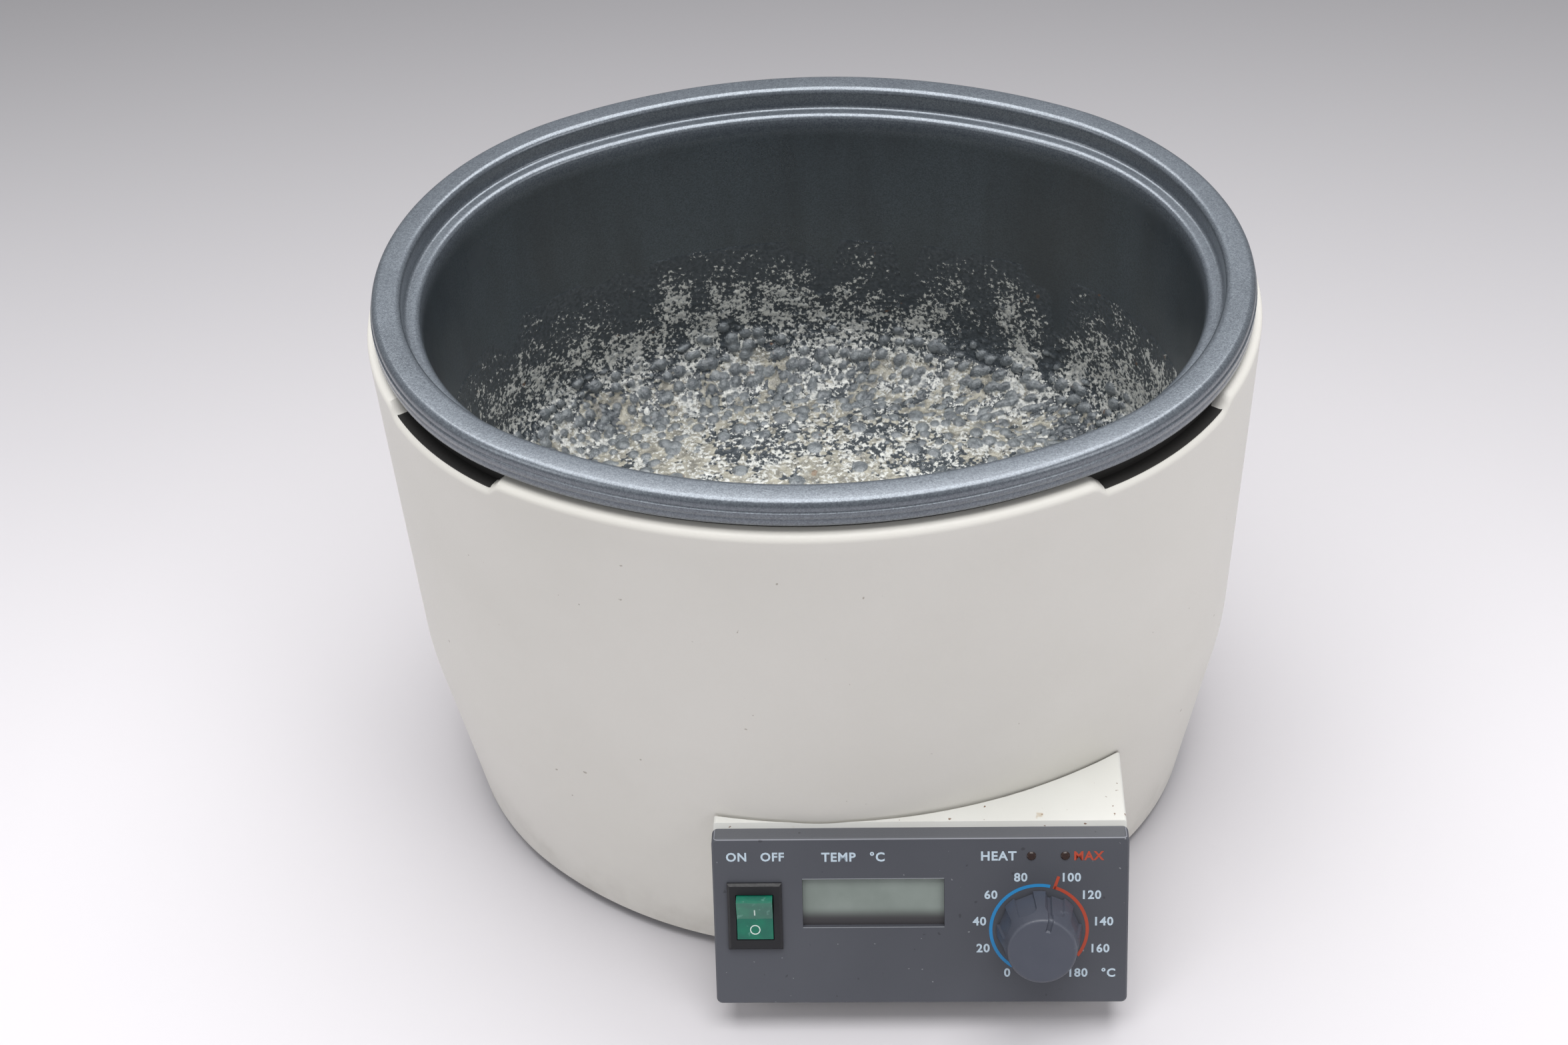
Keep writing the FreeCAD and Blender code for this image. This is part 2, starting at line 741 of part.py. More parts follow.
def make_foot(name, x, y):
    """A turned rubber foot, stuck under the plate."""
    body = new_body(name)
    sketch = new_sketch(body, name + "_profile", "XZ_Plane")
    polygon(sketch, ((0.0, 0.0), (S.foot_radius - S.foot_edge, 0.0), (S.foot_radius, S.foot_edge),
                     (S.foot_radius, plate_underside), (0.0, plate_underside)))
    turned = body.newObject("PartDesign::Revolution", name + "_turned")
    turned.Profile = (sketch, "")
    turned.ReferenceAxis = (sketch, ["V_Axis"])
    doc.recompute()
    move(body, x, y)
    return part(body, name)


# Pan: one drawn sheet, from the hemmed skirt over the rim and the step down to the floor,
# with the hard layer of scale and coating that has grown on its floor

def make_pan():
    body = new_body("drawn_pan")
    skirt_foot = S.rim_top - S.rim_skirt
    top = rim_oval(body, "rim_outline", skirt_foot)
    feature(body, "Pad", "rim_block", top, S.rim_skirt)
    bevel_edges(body, "rim_bevel", S.rim_edge, lambda edge: level(edge, S.rim_top))
    hem = rim_oval(body, "hem_outline", skirt_foot, -S.rim_hem_proud)
    feature(body, "Pad", "hem", hem, S.rim_hem)

    neck = rim_oval(body, "neck_outline", step_top - S.pan_sheet, S.rim_flange - S.pan_sheet)
    feature(body, "Pad", "neck", neck, S.rim_inner_drop)
    high = rim_oval(body, "well_high", step_top, well_inset - S.pan_sheet)
    low = rim_oval(body, "well_low", pan_underside, well_inset + S.pan_draft - S.pan_sheet)
    loft(body, "AdditiveLoft", "well", low, high)
    mouth = rim_oval(body, "mouth_outline", S.rim_top, S.rim_flange)
    feature(body, "Pocket", "mouth", mouth, S.rim_inner_drop)
    inner_high = rim_oval(body, "inside_high", step_top, well_inset)
    inner_low = rim_oval(body, "inside_low", pan_floor, well_inset + S.pan_draft)
    loft(body, "SubtractiveLoft", "inside", inner_low, inner_high)
    round_edges(body, "inside_corner", S.pan_corner, lambda edge: level(edge, pan_floor))
    round_edges(body, "well_corner", S.pan_corner + S.pan_sheet, lambda edge: level(edge, pan_underside))
    bevel_edges(body, "mouth_edge", S.rim_inner_edge, lambda edge: level(edge, S.rim_top)
                and on_oval(edge, S.rim_flange))

    under = rim_oval(body, "under_rim", skirt_foot, S.pan_sheet)
    oval_hole = S.rim_flange - S.pan_sheet
    oval(under, S.rim_half_length, S.rim_half_width, S.rim_end_radius, oval_hole)
    feature(body, "Pocket", "rim_hollow", under, S.rim_skirt - S.pan_sheet, reverse=True)
    cake = rim_oval(body, "scale_outline", pan_floor, well_inset + S.pan_draft + S.pan_corner - S.scale_spread)
    feature(body, "Pad", "scale", cake, S.scale_thick)
    move(body)
    return part(fuse("scaled_pan", body, blisters()), "pan")


def blisters():
    """Raised spots of the scale, spread evenly over the floor by the golden angle."""
    places = []
    for i in range(BLISTERS):
        share = math.sqrt((i + 0.5) / BLISTERS)
        turn = i * GOLDEN_TURN
        places.append((floor_length * (share * math.cos(turn)), floor_width * (share * math.sin(turn)),
                       pan_floor + S.scale_thick * 0.5))
    return group("blisters", lambda name: prism(name, S.blister_radius, S.blister_height + S.scale_thick * 0.5),
                 places)


def on_oval(edge, inset):
    """True where the edge's middle lies on the rim oval moved inwards by inset."""
    box_edge = edge.valueAt((edge.FirstParameter + edge.LastParameter) / 2.0)
    reach = S.rim_half_length.value - S.rim_end_radius.value
    half_width = S.rim_half_width.value
    end = S.rim_end_radius.value
    side = (reach ** 2 + half_width ** 2 - end ** 2) / (2.0 * (half_width - end))
    from_end = math.hypot(abs(box_edge.x) - reach, box_edge.y) - (end - Size.of(inset).value)
    from_side = math.hypot(box_edge.x, abs(box_edge.y) + side - half_width) - (side - Size.of(inset).value)
    return min(abs(from_end), abs(from_side)) < 0.05


def rim_ring(name, foot, top, outer, inner):
    """An upright ring between two ovals of the rim."""
    body = new_body(name)
    outside = rim_oval(body, name + "_outside", foot, outer)
    oval(outside, S.rim_half_length, S.rim_half_width, S.rim_end_radius, inner)
    feature(body, "Pad", name + "_ring", outside, top - foot)
    move(body)
    return part(body, name)


# Heating: a square-pressed tube clamped under the pan floor, glass wool and a sheet shield

def make_heating_element():
    body = new_body("heating_element")
    path = new_sketch(body, "element_path", offset=heater_middle)
    straight, bend, lead = S.heater_straight, S.heater_bend, S.heater_lead
    for side, start in ((1, -math.pi / 2), (-1, math.pi / 2)):
        path.addGeometry(Part.ArcOfCircle(
            Part.Circle(Vector(side * straight.value, 0, 0), Z_AXIS, bend.value), start, start + math.pi))
    runs = ((lead.value, -bend.value, straight.value, -bend.value),
               (straight.value, bend.value, -straight.value, bend.value),
               (-straight.value, -bend.value, -lead.value, -bend.value))
    for x1, y1, x2, y2 in runs:
        path.addGeometry(Part.LineSegment(Vector(x1, y1, 0), Vector(x2, y2, 0)))
    place_point(path, 0, 3, straight, 0.0)
    place_point(path, 1, 3, -straight, 0.0)
    hold(path, "Radius", 0, size=bend)
    hold(path, "Tangent", 0, 1, 2, 2)
    hold(path, "Tangent", 0, 2, 3, 1)
    hold(path, "Tangent", 1, 1, 3, 2)
    hold(path, "Coincident", 1, 2, 4, 1)
    hold(path, "Vertical", 1, 2, 1, 3)
    hold(path, "Horizontal", 4)
    hold(path, "DistanceX", -1, 1, 2, 1, size=lead)
    hold(path, "DistanceX", 4, 2, -1, 1, size=lead)
    section = new_sketch(body, "element_section", "YZ_Plane", lead)
    rectangle(section, -bend, heater_middle, 2.0 * S.heater_radius, 2.0 * S.heater_radius)
    pipe = body.newObject("PartDesign::AdditivePipe", "element_tube")
    pipe.Profile = (section, "")
    pipe.Spine = (path, "")
    doc.recompute()
    move(body)
    return part(body, "heating_element")


def stud_holes(body, top, depth):
    discs(body, "stud_holes", "XY_Plane", top, [(x, 0.0) for x in stud_xs],
          S.stud_radius + S.clearance, depth, "Pocket")


def make_heater_clamp():
    body = new_body("heater_clamp")
    block(body, "clamp_plate", "XY_Plane", insulation_top, 0.0, 0.0,
          S.clamp_length, 2.0 * S.heater_bend, S.clamp_sheet)
    stud_holes(body, clamp_top, S.clamp_sheet)
    move(body)
    return part(body, "heater_clamp")


def make_insulation_pad():
    body = new_body("insulation_pad")
    outline = rim_oval(body, "pad_outline", shield_top, S.insulation_inset)
    feature(body, "Pad", "pad", outline, S.insulation)
    stud_holes(body, insulation_top, S.insulation)
    move(body)
    return part(body, "insulation_pad")


def make_heat_shield():
    """A sheet tray that stands on the pillars and carries the wool band on its rim."""
    body = new_body("heat_shield")
    outline = rim_oval(body, "shield_outline", shield_underside, S.shield_inset)
    feature(body, "Pad", "shield", outline, S.shield_sheet + S.shield_rim)
    hollow = rim_oval(body, "shield_hollow", shield_top + S.shield_rim, S.shield_inset + S.shield_sheet)
    feature(body, "Pocket", "shield_inside", hollow, S.shield_rim)
    stud_holes(body, shield_top, S.shield_sheet)
    move(body)
    return part(body, "heat_shield")


def make_studs():
    length = pan_underside - shield_underside + S.nut_thick + S.clearance

    def stud(name):
        return cylinder(name, S.stud_radius, length)

    studs = group("pan_studs", stud, [(x, 0.0, pan_underside - length) for x in stud_xs])
    move(studs)
    return part(studs, "pan_studs")


def make_stud_nuts():
    def nut(name):
        blank = prism(name + "_blank", S.nut_radius - S.stud_radius, S.nut_thick)
        return cut(name, blank, cylinder(name + "_bore", S.stud_radius + S.running_gap, S.nut_thick))

    nuts = group("stud_nuts", nut, [(x, 0.0, shield_underside - S.nut_thick) for x in stud_xs])
    move(nuts)
    return part(nuts, "stud_nuts")


def make_pillars():
    def pillar(name):
        return prism(name, S.pillar_radius, shield_underside - S.base_height)

    pillars = group("shield_pillars", pillar, [(x, y, S.base_height) for x, y in pillar_places])
    move(pillars)
    return part(pillars, "shield_pillars")


def make_probe():
    body = new_body("temperature_probe")
    disc(body, "probe", "YZ_Plane", -S.probe_length / 2.0, S.probe_y,
         pan_underside - S.probe_radius - S.running_gap, S.probe_radius, S.probe_length)
    move(body)
    return part(body, "temperature_probe")


# Console: a separate moulding that follows the wall, and the tilted bezel in front of it

def make_wall_clearance():
    """The body's outside, grown by the console gap: it trims the console to the wall."""
    body = new_body("wall_clearance")
    skirt(body, "AdditiveLoft", "grown_skirt", -S.console_gap)
    foot = skirt_oval(body, "grown_foot", S.base_height, Size.of(0.0), -S.console_gap)
    feature(body, "Pad", "grown_base", foot, S.base_height, reverse=True)
    return body


def make_console_housing():
    body = new_body("console_block")
    width = S.panel_width - 2.0 * S.console_side_inset
    left = S.panel_x - width / 2.0
    slope = S.panel_tilt.tangent()
    behind = S.bezel_thick / S.panel_tilt.cosine()

    def front(z):
        return -S.panel_front + (z - S.panel_foot) * slope + behind

    back = -S.rim_half_width / 2.0
    profile = new_sketch(body, "console_profile", "YZ_Plane", left)
    polygon(profile, ((back, S.console_foot), (back, S.console_height),
                      (front(S.console_height), S.console_height),
                      (front(S.console_foot), S.console_foot)))
    feature(body, "Pad", "console_solid", profile, width)
    round_edges(body, "console_edges", S.console_round, lambda edge: level(edge, S.console_height)
                and edge.BoundBox.YMax - edge.BoundBox.YMin > 1.0)
    hollow = new_sketch(body, "console_hollow", "YZ_Plane", left + S.console_wall)
    roof = S.console_height - S.console_wall
    floor = S.console_foot + S.console_wall
    polygon(hollow, ((back, floor), (back, roof), (-S.panel_front, roof), (-S.panel_front, floor)))
    feature(body, "Pocket", "console_inside", hollow, width - 2.0 * S.console_wall, reverse=True)
    discs(body, "console_pillars", "XY_Plane", S.base_height, tongue_places,
          S.console_pillar_radius, floor - S.base_height)
    discs(body, "console_pilots", "XY_Plane", S.base_height, tongue_places,
          S.screw_radius + S.running_gap, S.screw_length, "Pocket", reverse=True)
    trimmed = cut("console_housing", body, make_wall_clearance())
    move(trimmed)
    return part(trimmed, "console_housing")


def make_front_bezel():
    body = new_body("front_bezel")
    profile = new_sketch(body, "bezel_profile", "YZ_Plane", panel_left)
    polygon(profile, ((0.0, -S.bezel_thick), (0.0, 0.0), (S.panel_height, 0.0),
                      (S.panel_height + S.bezel_top_rise, -S.bezel_thick)))
    feature(body, "Pad", "bezel_plate", profile, S.panel_width)
    thick = S.bezel_thick.value
    round_edges(body, "bezel_corners", S.bezel_round,
                lambda edge: abs(edge.BoundBox.ZLength - thick) < 0.01 and edge.BoundBox.XLength < 0.01)
    bevel_edges(body, "bezel_front_edge", S.bezel_edge, lambda edge: level(edge, Size.of(0.0)))
    block(body, "display_opening", "XY_Plane", 0.0, display_x, S.display_u,
          S.display_width, S.display_length, S.bezel_thick, "Pocket")
    block(body, "switch_opening", "XY_Plane", 0.0, switch_x, S.switch_u,
          S.switch_width - 2.0 * S.switch_shoulder + 2.0 * S.running_gap,
          S.switch_length - 2.0 * S.switch_shoulder + 2.0 * S.running_gap, S.bezel_thick, "Pocket")
    disc(body, "bushing_hole", "XY_Plane", 0.0, knob_x, S.knob_u,
         S.bushing_radius + S.running_gap, S.bezel_thick, "Pocket")
    discs(body, "lamp_holes", "XY_Plane", 0.0, [(lamp_x, S.lamp_u), (lamp_x + S.lamp_pitch, S.lamp_u)],
          S.lamp_radius + S.running_gap, S.bezel_thick, "Pocket")
    on_panel(body)
    return part(body, "front_bezel")


def make_display_window():
    body = new_body("display_window")
    block(body, "window_face", "XY_Plane", -S.bezel_thick, 0.0, 0.0,
          S.display_width - 2.0 * S.running_gap, S.display_length - 2.0 * S.running_gap,
          S.bezel_thick - S.display_recess)
    block(body, "window_flange", "XY_Plane", -S.bezel_thick, 0.0, 0.0,
          S.display_width + 2.0 * S.display_flange, S.display_length + 2.0 * S.display_flange,
          S.display_flange_thick, reverse=True)
    on_panel(body, display_x, S.display_u)
    return part(body, "display_window")


def make_display_module():
    body = new_body("display_module")
    depth = S.board_behind - S.bezel_thick - S.display_flange_thick - S.clearance
    block(body, "module", "XY_Plane", -S.board_behind, 0.0, 0.0,
          S.display_width, S.display_length + S.display_flange, depth)
    on_panel(body, display_x, S.display_u)
    return part(body, "display_module")


def make_lamp(name, index):
    body = new_body(name)
    foot = S.bezel_thick + S.display_flange_thick
    disc(body, name + "_stem", "XY_Plane", -foot, 0.0, 0.0, S.lamp_radius, foot + S.lamp_rise)
    bevel_edges(body, name + "_dome", S.lamp_rise * 0.8, lambda edge: level(edge, S.lamp_rise))
    disc(body, name + "_flange", "XY_Plane", -foot, 0.0, 0.0,
         S.lamp_radius * 1.4, S.display_flange_thick)
    on_panel(body, lamp_x + index * S.lamp_pitch, S.lamp_u)
    return part(body, name)


# Power switch: a snap-in frame and a rocker that turns about a pin level with the panel

def make_switch_frame():
    body = new_body("switch_frame")
    block(body, "switch_flange", "XY_Plane", 0.0, 0.0, 0.0,
          S.switch_width, S.switch_length, S.switch_flange)
    bevel_edges(body, "switch_corner", S.switch_flange * 0.5,
                lambda edge: level(edge, S.switch_flange))
    block(body, "switch_body", "XY_Plane", 0.0, 0.0, 0.0,
          S.switch_width - 2.0 * S.switch_shoulder, S.switch_length - 2.0 * S.switch_shoulder,
          S.switch_depth, reverse=True)
    swing = S.rocker_swing + S.clearance
    block(body, "rocker_well", "XY_Plane", S.switch_flange, 0.0, 0.0,
          S.rocker_width + 2.0 * S.clearance, 2.0 * swing,
          S.switch_flange + swing, "Pocket")
    on_panel(body, switch_x, S.switch_u)
    return part(body, "switch_frame")


def make_power_rocker():
    """The rocker in its off position: the lower half is level with the panel."""
    body = new_body("power_rocker")
    disc(body, "rocker_drum", "YZ_Plane", -S.rocker_width / 2.0, 0.0, 0.0,
         S.rocker_swing, S.rocker_width)
    valley = new_sketch(body, "rocker_valley", "YZ_Plane", -S.rocker_width / 2.0)
    reach = 2.0 * S.rocker_swing
    brim = S.rocker_crease + reach * S.rocker_angle.tangent()
    polygon(valley, ((0.0, S.rocker_crease), (reach, brim), (reach, brim + reach),
                     (-reach, brim + reach), (-reach, brim)))
    feature(body, "Pocket", "rocker_faces", valley, S.rocker_width, reverse=True)
    below = S.rocker_swing - S.rocker_depth
    block(body, "rocker_flat", "YZ_Plane", -S.rocker_width / 2.0, 0.0,
          -S.rocker_depth - below / 2.0, 2.0 * S.rocker_swing, below, S.rocker_width,
          "Pocket", reverse=True)
    on_panel(body, switch_x, S.switch_u, S.rocker_pivot)
    angle = 90.0 - S.panel_tilt + S.rocker_angle
    body.Placement = FreeCAD.Placement(body.Placement.Base, FreeCAD.Rotation(X_AXIS, angle.value))
    bind(body, "Placement.Rotation.Angle", angle)
    return part(body, "power_rocker")


# Temperature knob: a cone with round-ended flutes and a pointer groove, on its spindle

def make_knob():
    body = new_body("temperature_knob")
    top = S.knob_gap + S.knob_height
    profile = new_sketch(body, "knob_profile", "XZ_Plane")
    bore = S.spindle_radius + S.running_gap
    recess_top = S.knob_gap + S.knob_recess
    bore_top = S.spindle_out + S.clearance
    polygon(profile, ((S.knob_recess_radius, S.knob_gap), (S.knob_radius, S.knob_gap),
                      (S.knob_face_radius, top), (0.0, top), (0.0, bore_top), (bore, bore_top),
                      (bore, recess_top), (S.knob_recess_radius, recess_top)))
    turned = body.newObject("PartDesign::Revolution", "knob_turned")
    turned.Profile = (profile, "")
    turned.ReferenceAxis = (profile, ["V_Axis"])
    doc.recompute()
    bevel_edges(body, "knob_bevel", S.knob_edge, lambda edge: level(edge, top))

    lean = math.degrees(math.atan((S.knob_radius.value - S.knob_face_radius.value) / S.knob_height.value))
    out = S.knob_radius + 1.0
    flute = new_sketch(body, "flute_outline", "XZ_Plane", out, FreeCAD.Rotation(X_AXIS, -lean))
    slot(flute, 0.0, 0.0, top - S.knob_flute_end - S.knob_flute_width / 2.0, S.knob_flute_width / 2.0)
    first = feature(body, "Pocket", "flute", flute, 1.0 + S.knob_flute_depth)
    ring = body.newObject("PartDesign::PolarPattern", "flutes")
    ring.Originals = [first]
    ring.Axis = (profile, ["V_Axis"])
    ring.Angle = 360.0
    ring.Occurrences = int(S.knob_flutes.value)
    bind(ring, "Occurrences", S.knob_flutes)
    body.Tip = ring
    doc.recompute()

    turn = FreeCAD.Rotation(Z_AXIS, -S.pointer_angle.value)
    groove = new_sketch(body, "pointer_face_outline", offset=top, turn=turn)
    start = S.knob_face_radius - S.pointer_face_length
    rectangle(groove, Size.of(0.0), start + S.pointer_face_length, S.pointer_width,
              2.0 * S.pointer_face_length)
    feature(body, "Pocket", "pointer_face", groove, S.pointer_depth)
    upright = FreeCAD.Rotation(X_AXIS, -lean)
    around = FreeCAD.Rotation(Vector(0, 1, 0), 180.0 - S.pointer_angle.value)
    side = new_sketch(body, "pointer_side_outline", "XZ_Plane", turn=around.multiply(upright))
    normal = around.multVec(Vector(0, 0, 1))
    side.setExpression("AttachmentOffset.Base.z", None)
    side.AttachmentOffset = FreeCAD.Placement(normal * out.value, around.multiply(upright))
    rectangle(side, Size.of(0.0), top / 2.0, S.pointer_width, 2.0 * top)
    feature(body, "Pocket", "pointer_side", side, 1.0 + S.pointer_depth)
    on_panel(body, knob_x, S.knob_u)
    return part(body, "temperature_knob")


def make_spindle():
    body = new_body("knob_spindle")
    disc(body, "spindle", "XY_Plane", S.spindle_out - S.spindle_length, 0.0, 0.0,
         S.spindle_radius, S.spindle_length)
    on_panel(body, knob_x, S.knob_u)
    return part(body, "knob_spindle")


def make_potentiometer():
    body = new_body("potentiometer")
    disc(body, "pot_can", "XY_Plane", -S.board_behind, 0.0, 0.0,
         S.pot_radius, S.board_behind - S.bezel_thick)
    disc(body, "pot_bushing", "XY_Plane", -S.bezel_thick, 0.0, 0.0,
         S.bushing_radius, S.bezel_thick + S.bushing_out)
    depth = S.bushing_out + S.spindle_length - S.spindle_out + S.clearance
    disc(body, "pot_bore", "XY_Plane", S.bushing_out, 0.0, 0.0,
         S.spindle_radius + S.running_gap, depth, "Pocket")
    on_panel(body, knob_x, S.knob_u)
    return part(body, "potentiometer")


def make_pot_nut():
    blank = prism("pot_nut_blank", S.nut_radius, S.nut_thick)
    nut = cut("potentiometer_nut", blank,
              cylinder("pot_nut_bore", S.bushing_radius + S.running_gap, S.nut_thick))
    on_panel(nut, knob_x, S.knob_u)
    return part(nut, "potentiometer_nut")


def make_control_board():
    body = new_body("control_board")
    block(body, "board", "XY_Plane", -S.board_behind, board_x, S.board_u,
          board_width, S.board_length, S.board_sheet, reverse=True)
    on_panel(body)
    return part(body, "control_board")


def make_board_spacers():
    left, right = board_x - board_width / 2.0 + 4.0, board_x + board_width / 2.0 - 4.0
    low, high = S.board_u - S.board_length / 2.0 + 4.0, S.board_u + S.board_length / 2.0 - 4.0
    middle = display_x + S.display_width / 2.0 + S.display_flange + S.spacer_radius + 1.0

    def spacer(name):
        return prism(name, S.spacer_radius, S.board_behind - S.bezel_thick)

    spacers = group("board_spacers", spacer,
                    [(left, low, -S.board_behind), (middle, high, -S.board_behind),
                     (right, low, -S.board_behind), (right, high, -S.board_behind)])
    on_panel(spacers)
    return part(spacers, "board_spacers")


# Back: appliance inlet with a fuse drawer, and the thermal cut-out with its reset button

def make_inlet():
    body = new_body("appliance_inlet")
    block(body, "inlet_flange", "XZ_Plane", -S.inlet_flange, 0.0, 0.0,
          S.inlet_flange_width, S.inlet_flange_height, S.inlet_flange)
    round_edges(body, "inlet_corners", S.inlet_flange,
                lambda edge: edge.BoundBox.YLength > 1.0 and edge.BoundBox.XLength < 0.01
                and edge.BoundBox.ZLength < 0.01)
    block(body, "inlet_body", "XZ_Plane", 0.0, 0.0, 0.0, S.inlet_width, S.inlet_height, S.inlet_depth)
    block(body, "socket", "XZ_Plane", -S.inlet_flange, 0.0, S.socket_rise,
          S.socket_width, S.socket_height, S.socket_depth, "Pocket", reverse=True)
    block(body, "drawer_bay", "XZ_Plane", -S.inlet_flange, 0.0, -S.fuse_drop,
          S.fuse_width + 2.0 * S.clearance, S.fuse_height + 2.0 * S.clearance,
          S.fuse_depth + S.clearance, "Pocket", reverse=True)
    floor_depth = S.inlet_depth + S.inlet_flange - S.socket_depth
    slots = new_sketch(body, "pin_slots_outline", "XZ_Plane", S.inlet_depth)
    for x, z in pin_places:
        rectangle(slots, x, z, S.pin_width + 2.0 * S.running_gap, S.pin_height + 2.0 * S.running_gap)
    feature(body, "Pocket", "pin_slots", slots, floor_depth)
    discs(body, "inlet_ears", "XZ_Plane", -S.inlet_flange,
          [(side * S.inlet_screw_pitch / 2.0, 0.0) for side in (-1, 1)],
          S.screw_radius + S.running_gap, S.inlet_flange, "Pocket", reverse=True)
    move(body, inlet_x, back_face, boss_middle)
    return part(body, "appliance_inlet")


def make_inlet_pins():
    pins = []
    for index, (x, z) in enumerate(pin_places, start=1):
        body = new_body(f"inlet_pin_{index}")
        block(body, f"pin_blade_{index}", "XZ_Plane", S.pin_recess - S.inlet_flange, x, z,
              S.pin_width, S.pin_height, S.pin_length)
        pins.append(body)
    pins = fuse("inlet_pins", *pins)
    move(pins, inlet_x, back_face, boss_middle)
    return part(pins, "inlet_pins")


def make_fuse_drawer():
    body = new_body("fuse_drawer")
    block(body, "drawer_tray", "XZ_Plane", -S.inlet_flange, 0.0, 0.0,
          S.fuse_width, S.fuse_height, S.fuse_depth)
    block(body, "drawer_lip", "XZ_Plane", -S.inlet_flange - S.fuse_lip, 0.0, 0.0,
          S.fuse_width + 2.0, S.fuse_height + 2.0, S.fuse_lip)
    trough = S.fuse_length + 2.0 * S.clearance
    middle = S.inlet_flange - 1.5 - trough / 2.0
    block(body, "fuse_trough", "XY_Plane", S.fuse_height / 2.0, 0.0, middle,
          2.0 * S.fuse_radius + 2.0 * S.clearance, trough, S.fuse_height - 1.0, "Pocket")
    move(body, inlet_x, back_face, boss_middle - S.fuse_drop)
    return part(body, "fuse_drawer")


def make_fuse():
    body = new_body("fuse")
    start = S.inlet_flange - 1.5 - S.clearance
    disc(body, "fuse_tube", "XZ_Plane", -start, 0.0,
         S.fuse_radius - S.fuse_height / 2.0 + 1.0 + S.running_gap, S.fuse_radius, S.fuse_length)
    move(body, inlet_x, back_face, boss_middle - S.fuse_drop)
    return part(body, "fuse")


def make_cutout():
    body = new_body("cutout_thermostat")
    block(body, "cutout_case", "XZ_Plane", S.wall, 0.0, 0.0,
          S.cutout_width, S.cutout_height, S.cutout_depth)
    disc(body, "cutout_neck_tube", "XZ_Plane", -S.nut_thick - 1.0, 0.0, 0.0,
         S.cutout_neck, S.wall + S.nut_thick + 1.0)
    disc(body, "cutout_bore", "XZ_Plane", -S.nut_thick - 1.0, 0.0, 0.0,
         S.reset_radius + 2.0 * S.running_gap, S.reset_length, "Pocket", reverse=True)
    move(body, reset_x, back_face, boss_middle)
    return part(body, "cutout_thermostat")


def make_cutout_nut():
    body = new_body("cutout_nut")
    disc(body, "nut_ring", "XZ_Plane", -S.nut_thick, 0.0, 0.0, S.cutout_neck + 2.5, S.nut_thick)
    disc(body, "nut_hole", "XZ_Plane", -S.nut_thick, 0.0, 0.0,
         S.cutout_neck + S.running_gap, S.nut_thick, "Pocket", reverse=True)
    move(body, reset_x, back_face, boss_middle)
    return part(body, "cutout_nut")


def make_reset_button():
    body = new_body("reset_button")
    disc(body, "button", "XZ_Plane", -S.nut_thick - S.reset_out, 0.0, 0.0,
         S.reset_radius, S.reset_length - S.reset_out)
    bevel_edges(body, "button_edge", S.reset_radius * 0.2,
                lambda edge: abs(edge.BoundBox.YMax - (S.nut_thick + S.reset_out).value) < 0.01
                and edge.BoundBox.YLength < 0.01)
    move(body, reset_x, back_face, boss_middle)
    return part(body, "reset_button")


# Electronics on the base plate, and the screws

def make_power_board():
    body = new_body("power_board")
    block(body, "power_board_sheet", "XY_Plane", S.power_board_z, 0.0, S.power_board_y,
          S.power_board_width, S.power_board_length, S.board_sheet)
    move(body)
    return part(body, "power_board")


def make_board_posts():
    x = S.power_board_width / 2.0 - 4.0
    y = S.power_board_length / 2.0 - 4.0

    def post(name):
        return prism(name, S.spacer_radius, S.power_board_z - S.base_height)

    posts = group("board_posts", post, [(sx * x, sy * y + S.power_board_y, S.base_height)
                                        for sx in (-1, 1) for sy in (-1, 1)])
    move(posts)
    return part(posts, "board_posts")


def make_component(name, x, y, width, length, height):
    body = new_body(name)
    board_top = S.power_board_z + S.board_sheet
    block(body, name + "_case", "XY_Plane", board_top, x, S.power_board_y + y, width, length, height)
    move(body)
    return part(body, name)


def make_heatsink():
    body = new_body("heatsink")
    foot = S.power_board_z + S.board_sheet
    span = (S.fin_count - 1.0) * S.fin_pitch + S.fin_sheet
    middle_x, middle_y = S.power_board_width / 4.0, S.power_board_y - S.power_board_length / 4.0
    block(body, "sink_base", "XY_Plane", foot, middle_x, middle_y, span, S.fin_length, S.wall)
    fin = block(body, "fin", "XY_Plane", foot + S.wall, middle_x - (span - S.fin_sheet) / 2.0, middle_y,
                S.fin_sheet, S.fin_length, S.fin_height - S.wall)
    pattern = body.newObject("PartDesign::LinearPattern", "fins")
    pattern.Originals = [fin]
    pattern.Direction = (fin.Profile[0], ["H_Axis"])
    pattern.Length = (span - S.fin_sheet).value
    bind(pattern, "Length", span - S.fin_sheet)
    pattern.Occurrences = int(S.fin_count.value)
    bind(pattern, "Occurrences", S.fin_count)
    body.Tip = pattern
    doc.recompute()
    move(body)
    return part(body, "heatsink")


def make_base_screws():
    def screw(name):
        head = prism(name + "_head", S.screw_head_radius, S.screw_head)
        shank = shift(cylinder(name + "_shank", S.screw_radius, S.screw_length), z=S.screw_head)
        return fuse(name, head, shank)

    z = plate_underside - S.screw_head
    screws = group("base_screws", screw, [(x, y, z) for x, y in corner_places + tongue_places])
    move(screws)
    return part(screws, "base_screws")


def make_inlet_screws():
    screws = []
    for side in (-1, 1):
        body = new_body(f"inlet_screw_{side + 2}")
        x = side * S.inlet_screw_pitch / 2.0
        disc(body, f"inlet_screw_head_{side + 2}", "XZ_Plane", -S.inlet_flange - S.screw_head, x, 0.0,
             S.screw_head_radius, S.screw_head)
        disc(body, f"inlet_screw_shank_{side + 2}", "XZ_Plane", -S.inlet_flange, x, 0.0,
             S.screw_radius, S.screw_length)
        screws.append(body)
    screws = fuse("inlet_screws", *screws)
    move(screws, inlet_x, back_face, boss_middle)
    return part(screws, "inlet_screws")


